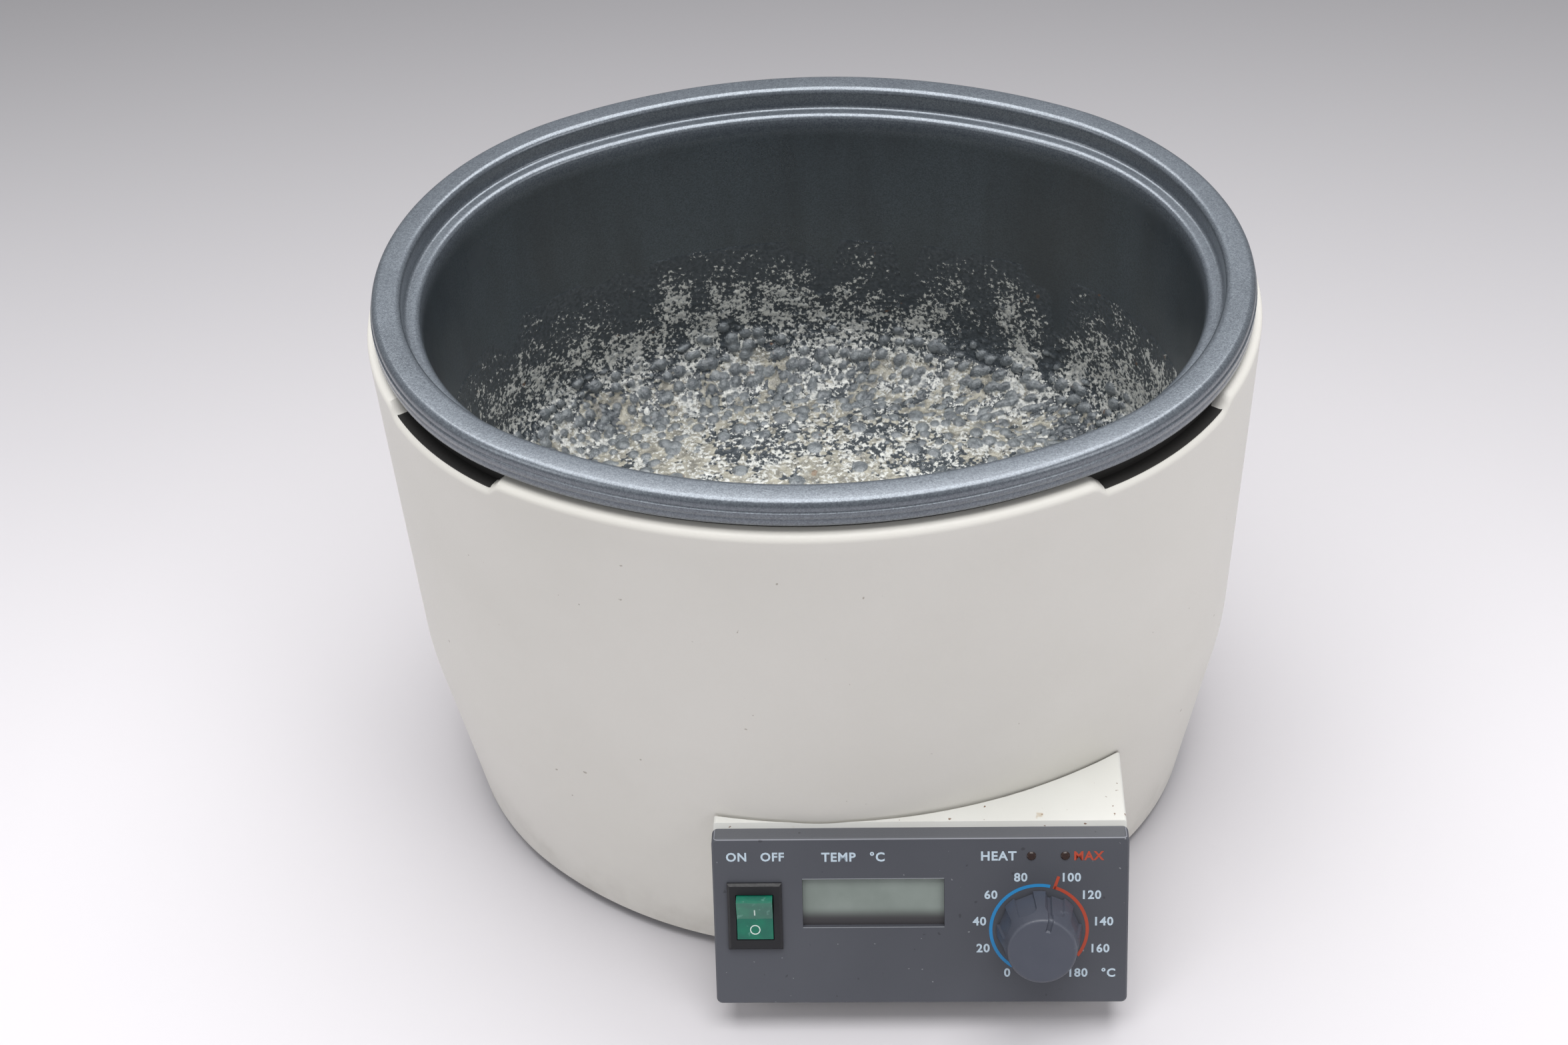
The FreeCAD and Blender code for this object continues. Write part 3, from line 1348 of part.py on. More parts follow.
make_housing()
make_base_plate()
foot_names = ("foot_front_left", "foot_front_right", "foot_back_left", "foot_back_right")
for foot_name, place in zip(foot_names, foot_places):
    make_foot(foot_name, *place)
make_pan()
rim_ring("pan_seal", shelf_top, S.rim_top - S.pan_sheet, S.seal_inset, S.seal_inset + S.seal_width)
make_heating_element()
make_heater_clamp()
make_insulation_pad()
band_foot = shield_top + S.shield_rim + S.clearance
rim_ring("insulation_band", band_foot, shelf_underside - S.clearance,
         S.band_gap, S.band_gap + S.band_thick)
make_heat_shield()
make_studs()
make_stud_nuts()
make_pillars()
make_probe()
make_console_housing()
make_front_bezel()
make_display_window()
make_display_module()
make_lamp("lamp_heating", 0)
make_lamp("lamp_limit", 1)
make_switch_frame()
make_power_rocker()
make_knob()
make_spindle()
make_potentiometer()
make_pot_nut()
make_control_board()
make_board_spacers()
make_inlet()
make_inlet_pins()
make_fuse_drawer()
make_fuse()
make_cutout()
make_cutout_nut()
make_reset_button()
make_power_board()
make_board_posts()
quarter = S.power_board_width / 4.0
make_component("transformer", -quarter, Size.of(-8.0), S.transformer_width, S.transformer_length,
               S.transformer_height)
make_component("relay", quarter, Size.of(16.0), S.relay_width, S.relay_length, S.relay_height)
make_component("terminal_block", -quarter, Size.of(30.0), S.terminal_width, S.terminal_length,
               S.terminal_height)
make_heatsink()
make_base_screws()
make_inlet_screws()

# The frame's origin is under the middle of the whole outline, from knob to reset button

doc.recompute()
front_reach = min(piece.Shape.optimalBoundingBox().YMin for piece in parts)
back_reach = max(piece.Shape.optimalBoundingBox().YMax for piece in parts)
sheet.set(f"B{centre_row}", str(-(front_reach + back_reach) / 2.0))
doc.recompute()

failed = [obj.Name for obj in doc.Objects if {"Invalid", "Error"} & set(obj.State)]
broken = [piece.Label for piece in parts if piece.Shape.isNull() or not piece.Shape.isValid()]
if failed or broken:
    raise RuntimeError(f"failed features: {failed}; broken shapes: {broken}")

os.makedirs("parts", exist_ok=True)
for piece in parts:
    piece.Shape.exportStep(os.path.join("parts", piece.Label + ".step"))
print(f"{len(parts)} parts, reach in Y {front_reach:.1f} to {back_reach:.1f} before centring")
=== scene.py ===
import math

import bmesh
import bpy
import numpy as np
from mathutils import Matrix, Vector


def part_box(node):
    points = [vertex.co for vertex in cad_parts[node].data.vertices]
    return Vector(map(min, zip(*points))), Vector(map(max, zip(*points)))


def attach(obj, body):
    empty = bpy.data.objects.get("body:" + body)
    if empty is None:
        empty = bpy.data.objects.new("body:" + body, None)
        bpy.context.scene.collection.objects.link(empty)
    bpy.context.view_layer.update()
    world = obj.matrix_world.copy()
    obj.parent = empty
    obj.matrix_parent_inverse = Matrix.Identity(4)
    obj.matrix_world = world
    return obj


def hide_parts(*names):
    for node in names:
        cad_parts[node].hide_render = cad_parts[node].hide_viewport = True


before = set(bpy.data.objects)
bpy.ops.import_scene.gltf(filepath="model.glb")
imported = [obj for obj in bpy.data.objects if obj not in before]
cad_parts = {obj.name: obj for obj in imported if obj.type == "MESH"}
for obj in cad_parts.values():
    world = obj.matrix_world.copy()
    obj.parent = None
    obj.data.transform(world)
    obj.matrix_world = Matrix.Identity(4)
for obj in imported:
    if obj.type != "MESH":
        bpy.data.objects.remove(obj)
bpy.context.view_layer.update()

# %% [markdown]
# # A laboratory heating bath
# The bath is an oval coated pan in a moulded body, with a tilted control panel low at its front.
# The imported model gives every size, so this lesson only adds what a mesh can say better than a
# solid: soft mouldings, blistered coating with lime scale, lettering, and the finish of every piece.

MM = 0.001
pan_low, pan_high = (np.array(corner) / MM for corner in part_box("pan"))
MIDDLE_Y = (pan_low[1] + pan_high[1]) / 2
print("bath centre lies", round(MIDDLE_Y, 2), "mm behind the middle of the outline")

# %% [markdown]
# ## The camera
# The picture was taken from above and in front, at about 44 degrees, with a slight tilt to one side.
# A camera can be aimed with a tracking constraint, but then its roll is awkward. Here its three
# axes are worked out from the two angles and the roll, and written straight into its matrix.

# %% Camera
import mathutils

CAMERA_PLACE = np.array([24.1, MIDDLE_Y - 581.0, 661.9]) * MM
AZIMUTH, ELEVATION, ROLL = (math.radians(angle) for angle in (3.68, 44.3, -3.33))
LENS, SENSOR = 52.03, 36.0

forward = np.array([-math.sin(AZIMUTH) * math.cos(ELEVATION),
                    math.cos(AZIMUTH) * math.cos(ELEVATION), -math.sin(ELEVATION)])
level_right = np.cross(forward, [0, 0, 1])
level_right /= np.linalg.norm(level_right)
level_up = np.cross(level_right, forward)
right = math.cos(ROLL) * level_right + math.sin(ROLL) * level_up
up = math.cos(ROLL) * level_up - math.sin(ROLL) * level_right

camera = bpy.data.objects.new("camera", bpy.data.cameras.new("camera"))
camera.data.lens, camera.data.sensor_width = LENS, SENSOR
camera.matrix_world = mathutils.Matrix([[right[i], up[i], -forward[i], CAMERA_PLACE[i]] for i in range(3)]
                                       + [[0, 0, 0, 1]])
bpy.context.scene.collection.objects.link(camera)
bpy.context.scene.camera = camera
bpy.context.scene.view_settings.view_transform = "Standard"
print("camera at", np.round(CAMERA_PLACE, 3))

# %% [markdown]
# ## Shader helpers
# A material is a small graph of nodes. Writing each node by hand takes many lines, so a few helpers
# add one node each: any node, a mix of two colours, a smooth step of a value, and a bump.

# %% Node helpers
def srgb(red, green, blue):
    """A screen colour of 0 to 255 as the linear colour that a shader wants."""
    part = np.array([red, green, blue]) / 255
    linear = np.where(part > 0.04045, ((part + 0.055) / 1.055) ** 2.4, part / 12.92)
    return (*(float(value) for value in linear), 1.0)


def add(tree, kind, settings=(), **inputs):
    """Add one node; an input named s0, s1 ... is a socket by number, others by their name."""
    made = tree.nodes.new("ShaderNode" + kind)
    for name, value in dict(settings).items():
        setattr(made, name, value)
    for name, value in inputs.items():
        key = int(name[1:]) if name[0] == "s" and name[1:].isdigit() else name.replace("_", " ")
        if isinstance(value, bpy.types.NodeSocket):
            tree.links.new(value, made.inputs[key])
        else:
            made.inputs[key].default_value = value
    return made


def math_node(tree, operation, first, second=0.0):
    """One arithmetic step on two values."""
    return add(tree, "Math", {"operation": operation}, s0=first, s1=second).outputs[0]


print("white is", srgb(255, 255, 255), "in a shader")

# %% [markdown]
# Every pattern starts as a noise over Object coordinates. A smooth step turns it into patches or
# specks, by where its two thresholds lie, and a mix lays a colour over another by it.

# %% Steps, mixes, noise and relief
def step(tree, value, low, high, start=0.0, stop=1.0):
    """A smooth step: start below low, stop above high, an S-curve between."""
    made = add(tree, "MapRange", {"interpolation_type": "SMOOTHSTEP"}, Value=value,
               From_Min=low, From_Max=high, To_Min=start, To_Max=stop)
    return made.outputs[0]


def mix(tree, factor, first, second):
    """A colour between two colours or colour sockets."""
    made = add(tree, "Mix", {"data_type": "RGBA"}, s0=factor, s6=first, s7=second)
    return made.outputs[2]


def noise(tree, scale, detail=3.0, stretch=None, roughness=0.5):
    """A cloud of values over Object coordinates; stretch squeezes it along each axis."""
    place = add(tree, "TexCoord").outputs["Object"]
    if stretch:
        place = add(tree, "Mapping", Vector=place, Scale=stretch).outputs[0]
    made = add(tree, "TexNoise", Vector=place, Scale=scale, Detail=detail, Roughness=roughness)
    return made.outputs[0]


def height_above_table(tree):
    """The upright Object coordinate, in metres."""
    place = add(tree, "TexCoord").outputs["Object"]
    return add(tree, "SeparateXYZ", Vector=place).outputs[2]


def bump(tree, shader, height, distance, strength=1.0):
    """Let a value push the surface's shading in and out by a distance in metres."""
    made = add(tree, "Bump", Height=height, Distance=distance, Strength=strength)
    tree.links.new(made.outputs[0], shader.inputs["Normal"])


def new_material(name):
    """A material with its main shader, ready for links."""
    material = bpy.data.materials.new(name)
    material.use_nodes = True
    return material, material.node_tree, material.node_tree.nodes["Principled BSDF"]


def link(tree, shader, **sockets):
    """Link sockets, or set numbers, on the main shader by name."""
    for name, value in sockets.items():
        socket = shader.inputs[name.replace("_", " ")]
        if isinstance(value, bpy.types.NodeSocket):
            tree.links.new(value, socket)
        else:
            socket.default_value = value


# %% [markdown]
# ## Plain finishes
# Most pieces are one moulded, rolled or painted stuff. Each differs in its two tones, in how glossy
# it is and in the size of its grain, so one function makes them all and a table names them.

# %% Plain finishes
def plain_finish(name, light, dark, roughness, grain=900.0, relief=0.00004, metallic=0.0, patch=14.0):
    """Two tones in soft patches, a fine grain in the relief, and gloss that varies with it."""
    material, tree, shader = new_material(name + "_finish")
    patches = step(tree, noise(tree, patch, 4.0), 0.3, 0.7)
    fine = noise(tree, grain, 2.0)
    shade = step(tree, fine, 0.2, 0.8, roughness - 0.06, roughness + 0.06)
    link(tree, shader, Base_Color=mix(tree, patches, srgb(*light), srgb(*dark)), Roughness=shade,
         Metallic=metallic)
    bump(tree, shader, fine, relief)
    return material


PLAIN = {
    "black_plastic": ((34, 34, 36), (24, 24, 26), 0.55),
    "seal_rubber": ((38, 36, 34), (28, 27, 26), 0.75),
    "foot_rubber": ((30, 30, 31), (22, 22, 23), 0.8),
    "switch_black": ((31, 31, 34), (24, 24, 27), 0.42),
    "relay_case": ((52, 78, 96), (44, 68, 86), 0.45),
    "button_red": ((168, 44, 34), (150, 36, 28), 0.4),
    "glass_wool": ((214, 200, 150), (190, 172, 118), 0.95, 400.0, 0.0006),
    "circuit_board": ((34, 92, 56), (28, 78, 48), 0.4, 500.0),
    "lamp_lens": ((62, 44, 38), (48, 33, 29), 0.22, 500.0),
    "display_module": ((150, 158, 146), (138, 146, 134), 0.3),
    "fuse_glass": ((196, 206, 204), (180, 190, 188), 0.15),
}
METALS = {
    "heater_steel": ((150, 140, 128), (120, 104, 92), 0.42),
    "plate_aluminium": ((188, 190, 192), (170, 172, 175), 0.38),
    "sheet_steel": ((178, 180, 182), (158, 161, 164), 0.36),
    "screw_steel": ((176, 176, 174), (150, 150, 150), 0.34),
    "nut_brass": ((196, 164, 92), (172, 140, 74), 0.34),
    "transformer_iron": ((92, 88, 86), (72, 66, 62), 0.5),
}
finishes = {name: plain_finish(name, *tones) for name, tones in PLAIN.items()}
finishes.update({name: plain_finish(name, *tones, metallic=0.9) for name, tones in METALS.items()})
print(len(finishes), "plain finishes")

# %% [markdown]
# ## The pale mouldings
# The body is a warm grey plastic with a fine spark-eroded grain, soft clouds of tone and brownish
# patches that darken it towards the table. The console's ledge is paler, catches drips, and has a dark
# line where it meets the wall. The wall there is an arc about a known centre, so the line is drawn by the
# distance from that centre.

# %% Body and console plastic
WALL_ARC_Y, WALL_ARC_RADIUS = MIDDLE_Y + 76.6, 190.6


def body_plastic():
    """Warm grey in soft clouds, darker in brownish patches towards the table, with a few specks and a moulded
    grain.
    """
    material, tree, shader = new_material("body_plastic_finish")
    clouds = step(tree, noise(tree, 9.0, 5.0), 0.3, 0.72)
    base = mix(tree, clouds, srgb(229, 226, 219), srgb(222, 219, 211))
    # darker in brownish patches over the lowest 30 mm, towards the table
    low = step(tree, height_above_table(tree), 0.004, 0.03, 0.3, 0.0)
    low_dark_patches = math_node(tree, "MULTIPLY", low, step(tree, noise(tree, 60.0, 4.0), 0.35, 0.75))
    base = mix(tree, low_dark_patches, base, srgb(142, 134, 118))
    specks = step(tree, noise(tree, 380.0, 1.0), 0.8, 0.83, 0.0, 0.5)
    base = mix(tree, specks, base, srgb(120, 104, 82))
    grain = noise(tree, 1500.0, 2.0)
    link(tree, shader, Base_Color=base, Roughness=step(tree, grain, 0.2, 0.8, 0.4, 0.52))
    bump(tree, shader, grain, 0.00005)
    return material


def console_plastic():
    """Paler grey with drip stains and spots, and a ragged dark line along the wall's arc."""
    material, tree, shader = new_material("console_plastic_finish")
    base = mix(tree, step(tree, noise(tree, 16.0, 4.0), 0.3, 0.7), srgb(232, 232, 227), srgb(224, 223, 217))
    stain = step(tree, noise(tree, 130.0, 3.0), 0.7, 0.78, 0.0, 0.5)
    base = mix(tree, stain, base, srgb(176, 146, 96))
    spot = step(tree, noise(tree, 520.0, 1.0), 0.74, 0.78, 0.0, 0.9)
    base = mix(tree, spot, base, srgb(120, 84, 52))
    place = add(tree, "TexCoord").outputs["Object"]
    flat = add(tree, "VectorMath", {"operation": "MULTIPLY"}, s0=place, s1=(1.0, 1.0, 0.0)).outputs[0]
    arm = add(tree, "VectorMath", {"operation": "SUBTRACT"}, s0=flat, s1=(0.0, WALL_ARC_Y * MM, 0.0)).outputs[0]
    reach = add(tree, "VectorMath", {"operation": "LENGTH"}, s0=arm).outputs["Value"]
    away = math_node(tree, "SUBTRACT", reach, WALL_ARC_RADIUS * MM)
    # a ragged dark line on the ledge, darkest where it meets the wall
    ragged = step(tree, noise(tree, 90.0, 3.0), 0.3, 0.8, 0.0005, 0.0016)
    wall_dark_line = step(tree, math_node(tree, "DIVIDE", away, ragged), 0.2, 1.1, 0.92, 0.0)
    base = mix(tree, wall_dark_line, base, srgb(92, 76, 60))
    grain = noise(tree, 1500.0, 2.0)
    link(tree, shader, Base_Color=base, Roughness=step(tree, grain, 0.2, 0.8, 0.34, 0.46))
    bump(tree, shader, grain, 0.00003)
    return material


finishes["body_plastic"] = body_plastic()
finishes["console_plastic"] = console_plastic()

print("two pale mouldings:", finishes["body_plastic"].name, finishes["console_plastic"].name)

# %% [markdown]
# ## The panel's finishes
# The bezel is painted a dark blue grey, with dust caught on it. The knob is the same family, a
# little lighter. Along the crest where the bezel's top face meets its front lies a painted highlight line,
# and the top face is painted paler as lit; both are found by their height above the table.

# %% Bezel and knob
CREST = 65.14


def bezel_paint():
    """Patches, dust and pits, with a painted highlight line along the crest below a top face painted paler as
    lit.
    """
    material, tree, shader = new_material("bezel_paint_finish")
    base = mix(tree, step(tree, noise(tree, 11.0, 4.0), 0.3, 0.7), srgb(84, 86, 93), srgb(76, 78, 85))
    dust = step(tree, noise(tree, 640.0, 1.0), 0.785, 0.8, 0.0, 0.45)
    base = mix(tree, dust, base, srgb(168, 170, 172))
    height = height_above_table(tree)
    # painted highlight: the top face lighter as if lit, and a pale highlight line just below the crest
    above = step(tree, height, (CREST - 0.02) * MM, (CREST + 0.06) * MM)
    below = step(tree, height, (CREST - 0.18) * MM, (CREST - 0.1) * MM)
    base = mix(tree, math_node(tree, "MULTIPLY", above, 0.3), base, srgb(118, 119, 121))
    crest_highlight = math_node(tree, "MULTIPLY", below, math_node(tree, "SUBTRACT", 1.0, above))
    base = mix(tree, crest_highlight, base, srgb(150, 152, 160))
    pits = step(tree, noise(tree, 380.0, 1.0, roughness=0.3), 0.2, 0.23, 0.5, 0.0)
    base = mix(tree, pits, base, srgb(44, 44, 48))
    grain = noise(tree, 1900.0, 2.0)
    link(tree, shader, Base_Color=base, Roughness=step(tree, grain, 0.2, 0.8, 0.44, 0.56))
    bump(tree, shader, grain, 0.00003)
    return material


def knob_plastic():
    """Blue grey in two tones with worn patches and a fine grain."""
    material, tree, shader = new_material("knob_plastic_finish")
    base = mix(tree, step(tree, noise(tree, 40.0, 4.0), 0.3, 0.7), srgb(80, 83, 94), srgb(72, 76, 87))
    worn = step(tree, noise(tree, 260.0, 3.0), 0.66, 0.74, 0.0, 0.25)
    base = mix(tree, worn, base, srgb(122, 125, 134))
    grain = noise(tree, 1700.0, 2.0)
    link(tree, shader, Base_Color=base, Roughness=step(tree, grain, 0.2, 0.8, 0.34, 0.46))
    bump(tree, shader, grain, 0.00002)
    return material


print("crest of the bezel at", CREST, "mm")

# %% [markdown]
# The display is a sheet of glass over a grey-green cell that goes dark at its foot, and the rocker is
# tinted plastic. A clear coat on top gives both their second, sharper gloss.

# %% Display and rocker
DISPLAY_FOOT, DARK_BAND = 38.4, 4.2


def display_glass():
    """A grey-green cell that turns dark over its lowest 4 mm, under a clear coat."""
    material, tree, shader = new_material("display_window_finish")
    edge = step(tree, height_above_table(tree), DISPLAY_FOOT * MM, (DISPLAY_FOOT + DARK_BAND) * MM)
    cell = mix(tree, step(tree, noise(tree, 70.0, 3.0), 0.3, 0.7), srgb(140, 149, 143), srgb(130, 139, 133))
    base = mix(tree, edge, srgb(66, 64, 66), cell)
    link(tree, shader, Base_Color=base, Roughness=0.16, Coat_Weight=0.6, Coat_Roughness=0.06)
    bump(tree, shader, noise(tree, 30.0, 2.0), 0.00004)
    return material


def rocker_green():
    """Tinted plastic with dust, a clear coat and a little scattering below the surface."""
    material, tree, shader = new_material("rocker_green_finish")
    base = mix(tree, step(tree, noise(tree, 120.0, 3.0), 0.3, 0.7), srgb(24, 126, 98), srgb(34, 104, 88))
    dust = step(tree, noise(tree, 520.0, 2.0), 0.62, 0.72, 0.0, 0.35)
    base = mix(tree, dust, base, srgb(120, 176, 160))
    link(tree, shader, Base_Color=base, Roughness=0.26, Coat_Weight=0.5, Coat_Roughness=0.12,
         Subsurface_Weight=0.15, Subsurface_Radius=(0.2, 1.0, 0.6), Subsurface_Scale=0.002)
    bump(tree, shader, noise(tree, 300.0, 3.0), 0.00006)
    return material


for make in (bezel_paint, knob_plastic, rocker_green):
    finishes[make.__name__] = make()
finishes["display_window"] = display_glass()

print(len(finishes), "finishes so far")

# %% [markdown]
# ## The pan's coating
# The pan is aluminium under a baked metallic coat: blue grey, with a fine sparkle. Down the well the
# same coat is painted darker as painted shade, and its rim has lost a few flakes. Cells of a Voronoi
# texture, each with its own random tone, give the sparkle.

# %% Coated aluminium
LEDGE_TOP = 201.8


def coated_aluminium():
    """Flakes as random tones of cells; pale on the rim, painted shade down the well with streaks, chipped."""
    material, tree, shader = new_material("coated_aluminium_finish")
    place = add(tree, "TexCoord").outputs["Object"]
    flakes = add(tree, "TexVoronoi", Vector=place, Scale=2600.0).outputs["Color"]
    tone = add(tree, "SeparateXYZ", Vector=flakes).outputs[0]
    rim = mix(tree, tone, srgb(88, 94, 102), srgb(115, 122, 129))
    shaded_well = mix(tree, tone, srgb(52, 61, 68), srgb(70, 79, 87))
    streaks = step(tree, noise(tree, 42.0, 5.0, stretch=(1.0, 1.0, 0.22)), 0.35, 0.75, 0.0, 0.6)
    shaded_well = mix(tree, streaks, shaded_well, srgb(40, 45, 50))
    # painted shade: the same coat darker below the ledge, down the well
    depth = step(tree, height_above_table(tree), (LEDGE_TOP - 9) * MM, (LEDGE_TOP - 0.5) * MM)
    base = mix(tree, depth, shaded_well, rim)
    chipped = step(tree, noise(tree, 90.0, 6.0, roughness=0.7), 0.735, 0.75, 0.0, 0.85)
    base = mix(tree, math_node(tree, "MULTIPLY", chipped, depth), base, srgb(196, 188, 176))
    shade = step(tree, noise(tree, 24.0, 4.0), 0.3, 0.7, 0.27, 0.37)
    link(tree, shader, Base_Color=base, Roughness=shade, Metallic=0.5, Coat_Weight=0.6, Coat_Roughness=0.22)
    bump(tree, shader, noise(tree, 1300.0, 3.0), 0.00005)
    return material


finishes["coated_aluminium"] = coated_aluminium()

print("the rim's tone begins at", LEDGE_TOP, "mm")

# %% [markdown]
# ## Scale and blisters
# Boiled-off water leaves pale lime between blisters of the coat. The mesh carries two values at each
# point, how far it is up a blister and how much lime lies there, and the material mixes by them.

# %% Limed coating
def limed_coating():
    """Coat, then lime, painted highlights for wet glints, blister crowns and rust, each mixed over the last."""
    material, tree, shader = new_material("limed_coating_finish")
    dome = add(tree, "Attribute", {"attribute_name": "dome"}).outputs["Fac"]
    lime = add(tree, "Attribute", {"attribute_name": "lime"}).outputs["Fac"]
    fine = noise(tree, 700.0, 4.0)
    coat = mix(tree, step(tree, fine, 0.3, 0.7), srgb(52, 59, 65), srgb(72, 79, 85))
    pale = mix(tree, step(tree, noise(tree, 260.0, 4.0), 0.3, 0.7), srgb(180, 176, 161), srgb(124, 122, 114))
    edge = math_node(tree, "ADD", lime, step(tree, fine, 0.2, 0.8, -0.32, 0.32))
    base = mix(tree, step(tree, edge, 0.3, 0.7), coat, pale)
    crown = step(tree, dome, 0.08, 0.24, 0.0, 0.95)
    slate = mix(tree, step(tree, noise(tree, 330.0, 3.0), 0.3, 0.7), srgb(136, 142, 145), srgb(98, 104, 109))
    wet = add(tree, "Attribute", {"attribute_name": "wet"}).outputs["Fac"]
    pimples = noise(tree, 700.0, 4.0, roughness=0.66)
    clumps = step(tree, noise(tree, 150.0, 2.0), 0.25, 0.75, -0.09, 0.09)
    raised = math_node(tree, "ADD", pimples, clumps)
    raised = math_node(tree, "ADD", raised, math_node(tree, "MULTIPLY", wet, 0.3))
    # painted highlight: pale specks stand for glints where the crust is wet
    glint = math_node(tree, "MULTIPLY", step(tree, raised, 0.74, 0.82), step(tree, wet, 0.02, 0.12))
    shine = mix(tree, step(tree, fine, 0.3, 0.7), srgb(158, 162, 163), srgb(220, 220, 214))
    base = mix(tree, glint, base, shine)
    base = mix(tree, crown, base, slate)
    rust = step(tree, noise(tree, 180.0, 2.0), 0.72, 0.78, 0.0, 0.5)
    base = mix(tree, rust, base, srgb(132, 92, 56))
    gloss = step(tree, edge, 0.2, 0.8, 0.2, 0.4)
    link(tree, shader, Base_Color=base, Roughness=gloss, Metallic=0.2, Coat_Weight=0.4, Coat_Roughness=0.2)
    bump(tree, shader, math_node(tree, "ADD", fine, math_node(tree, "MULTIPLY", raised, 2.5)), 0.00025)
    return material


limed = limed_coating()

print("crust finish has", len(limed.node_tree.nodes), "nodes")

# %% [markdown]
# ## Finishing the carried-over nodes
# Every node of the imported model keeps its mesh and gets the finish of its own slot.

# %% Assign the finishes
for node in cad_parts:
    name = node if isinstance(node, str) else node["name"]
    for slot in bpy.data.objects[name].material_slots:
        slot.material = finishes[slot.material.name.split(".")[0]]
print(len(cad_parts), "nodes finished")

# %% [markdown]
# ## Making a piece from a grid
# A moulding that runs round the bath is a grid of points: one row for each step of its section, one
# column for each place round the oval. The columns close on themselves. The rows either close too,
# like a ring, or end in two flat caps. The normals are recalculated so that faces point outwards.

# %% Grid meshes
def grid_faces(rows, columns, loop):
    """Quads between neighbours of a grid whose columns close, and whose rows close if loop."""
    index = np.arange(rows * columns).reshape(rows, columns)
    beside = np.roll(index, -1, axis=1)
    if loop:
        above, above_beside = np.roll(index, -1, axis=0), np.roll(beside, -1, axis=0)
        quads = np.stack([index, beside, above_beside, above], axis=-1)
    else:
        quads = np.stack([index[:-1], beside[:-1], beside[1:], index[1:]], axis=-1)
    faces = quads.reshape(-1, 4).tolist()
    if not loop:
        faces += [index[0].tolist(), index[-1].tolist()]
    return faces


def mesh_from(name, points, faces, sharp=35.0):
    """A smooth-shaded mesh in metres from points in millimetres, doubles merged, faces outwards."""
    mesh = bpy.data.meshes.new(name)
    mesh.from_pydata((np.asarray(points).reshape(-1, 3) * MM).tolist(), [], faces)
    work = bmesh.new()
    work.from_mesh(mesh)
    bmesh.ops.remove_doubles(work, verts=work.verts, dist=0.002 * MM)
    bmesh.ops.recalc_face_normals(work, faces=work.faces)
    work.to_mesh(mesh)
    work.free()
    mesh.polygons.foreach_set("use_smooth", np.ones(len(mesh.polygons), dtype=bool))
    mesh.set_sharp_from_angle(angle=math.radians(sharp))
    return mesh


def piece(name, mesh, material, body="bath", replaces=()):
    """Put a mesh in the scene as a piece of one body."""
    made = bpy.data.objects.new(name, mesh)
    bpy.context.scene.collection.objects.link(made)
    mesh.materials.clear()
    mesh.materials.append(material)
    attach(made, body)
    if replaces:
        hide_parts(*replaces)
    print(name, len(mesh.vertices), "points", len(mesh.polygons), "faces")
    return made


# %% [markdown]
# ## Ovals
# Each outline of the bath is an oval of four arcs that meet smoothly: two tighter ends and two wide
# sides. Moving it inwards keeps the centres of its arcs. Every oval is divided at the same
# fractions of its arcs, so that points of two different ovals can be joined column by column.

# %% Ovals as columns of points
END_STEPS, SIDE_STEPS = 150, 120
AROUND_OVAL = 2 * (END_STEPS + SIDE_STEPS)
RIM_OVAL = 142.5, 111.0, 100.0


def oval(half_length, half_width, end_radius, inset=0.0):
    """Points round an oval: centre of an arc plus its radius, less the inset, along each direction."""
    reach = half_length - end_radius
    side_radius = (reach ** 2 + half_width ** 2 - end_radius ** 2) / (2 * (half_width - end_radius))
    drop = side_radius - half_width
    turn = math.atan2(drop, reach)
    arcs = ((reach, 0.0, end_radius, -turn, turn, END_STEPS),
            (0.0, -drop, side_radius, turn, math.pi - turn, SIDE_STEPS),
            (-reach, 0.0, end_radius, math.pi - turn, math.pi + turn, END_STEPS),
            (0.0, drop, side_radius, math.pi + turn, 2 * math.pi - turn, SIDE_STEPS))
    points = []
    for x, y, radius, start, stop, steps in arcs:
        angle = np.linspace(start, stop, steps, endpoint=False)
        reach_in = radius - inset
        points.append(np.stack([x + reach_in * np.cos(angle), y + reach_in * np.sin(angle)], -1))
    return np.concatenate(points)


def rim_oval(inset=0.0):
    """The rim's oval, in the frame of the outline."""
    return oval(*RIM_OVAL, inset) + [0.0, MIDDLE_Y]


def sweep(section):
    """Carry a section of (inset, height) pairs round the rim's oval."""
    rings = [np.column_stack([rim_oval(inset), np.full(AROUND_OVAL, height)])
             for inset, height in section]
    return np.stack(rings)


def bend(middle, radius, start, stop, steps):
    """Points along an arc of a section, between two angles in degrees."""
    angle = np.radians(np.linspace(start, stop, steps))
    return np.column_stack([middle[0] + radius * np.cos(angle), middle[1] + radius * np.sin(angle)])


print(AROUND_OVAL, "columns round every oval")

# %% [markdown]
# ## The pan
# The pan is one drawn sheet. Its section is drawn once, from the middle of the floor up the well,
# over the step and the rolled rim to the hem, and back underneath, and then carried round the oval.
# In a section the first number is how far inwards a point lies from the rim's outer edge.

# %% Pan section
RIM_TOP, FLOOR, SHEET = 209.5, 91.5, 1.5
RIM_WIDTH, WELL_EDGE, DRAFT = 9.7, 14.9, 5.0
CORNER = 24.0
lean = math.atan2(DRAFT, LEDGE_TOP - FLOOR)
corner_inset = WELL_EDGE + (LEDGE_TOP - FLOOR - CORNER) * math.tan(lean) + CORNER / math.cos(lean)
corner_middle = (corner_inset, FLOOR + CORNER)
lean_degrees = math.degrees(lean)


def wall_rows(low, high, offset, steps):
    """Points up the drafted well wall between two heights, offset outwards into the sheet."""
    height = np.linspace(low, high, steps)
    inset = WELL_EDGE - offset / math.cos(lean) + (LEDGE_TOP - height) * math.tan(lean)
    return np.column_stack([inset, height])


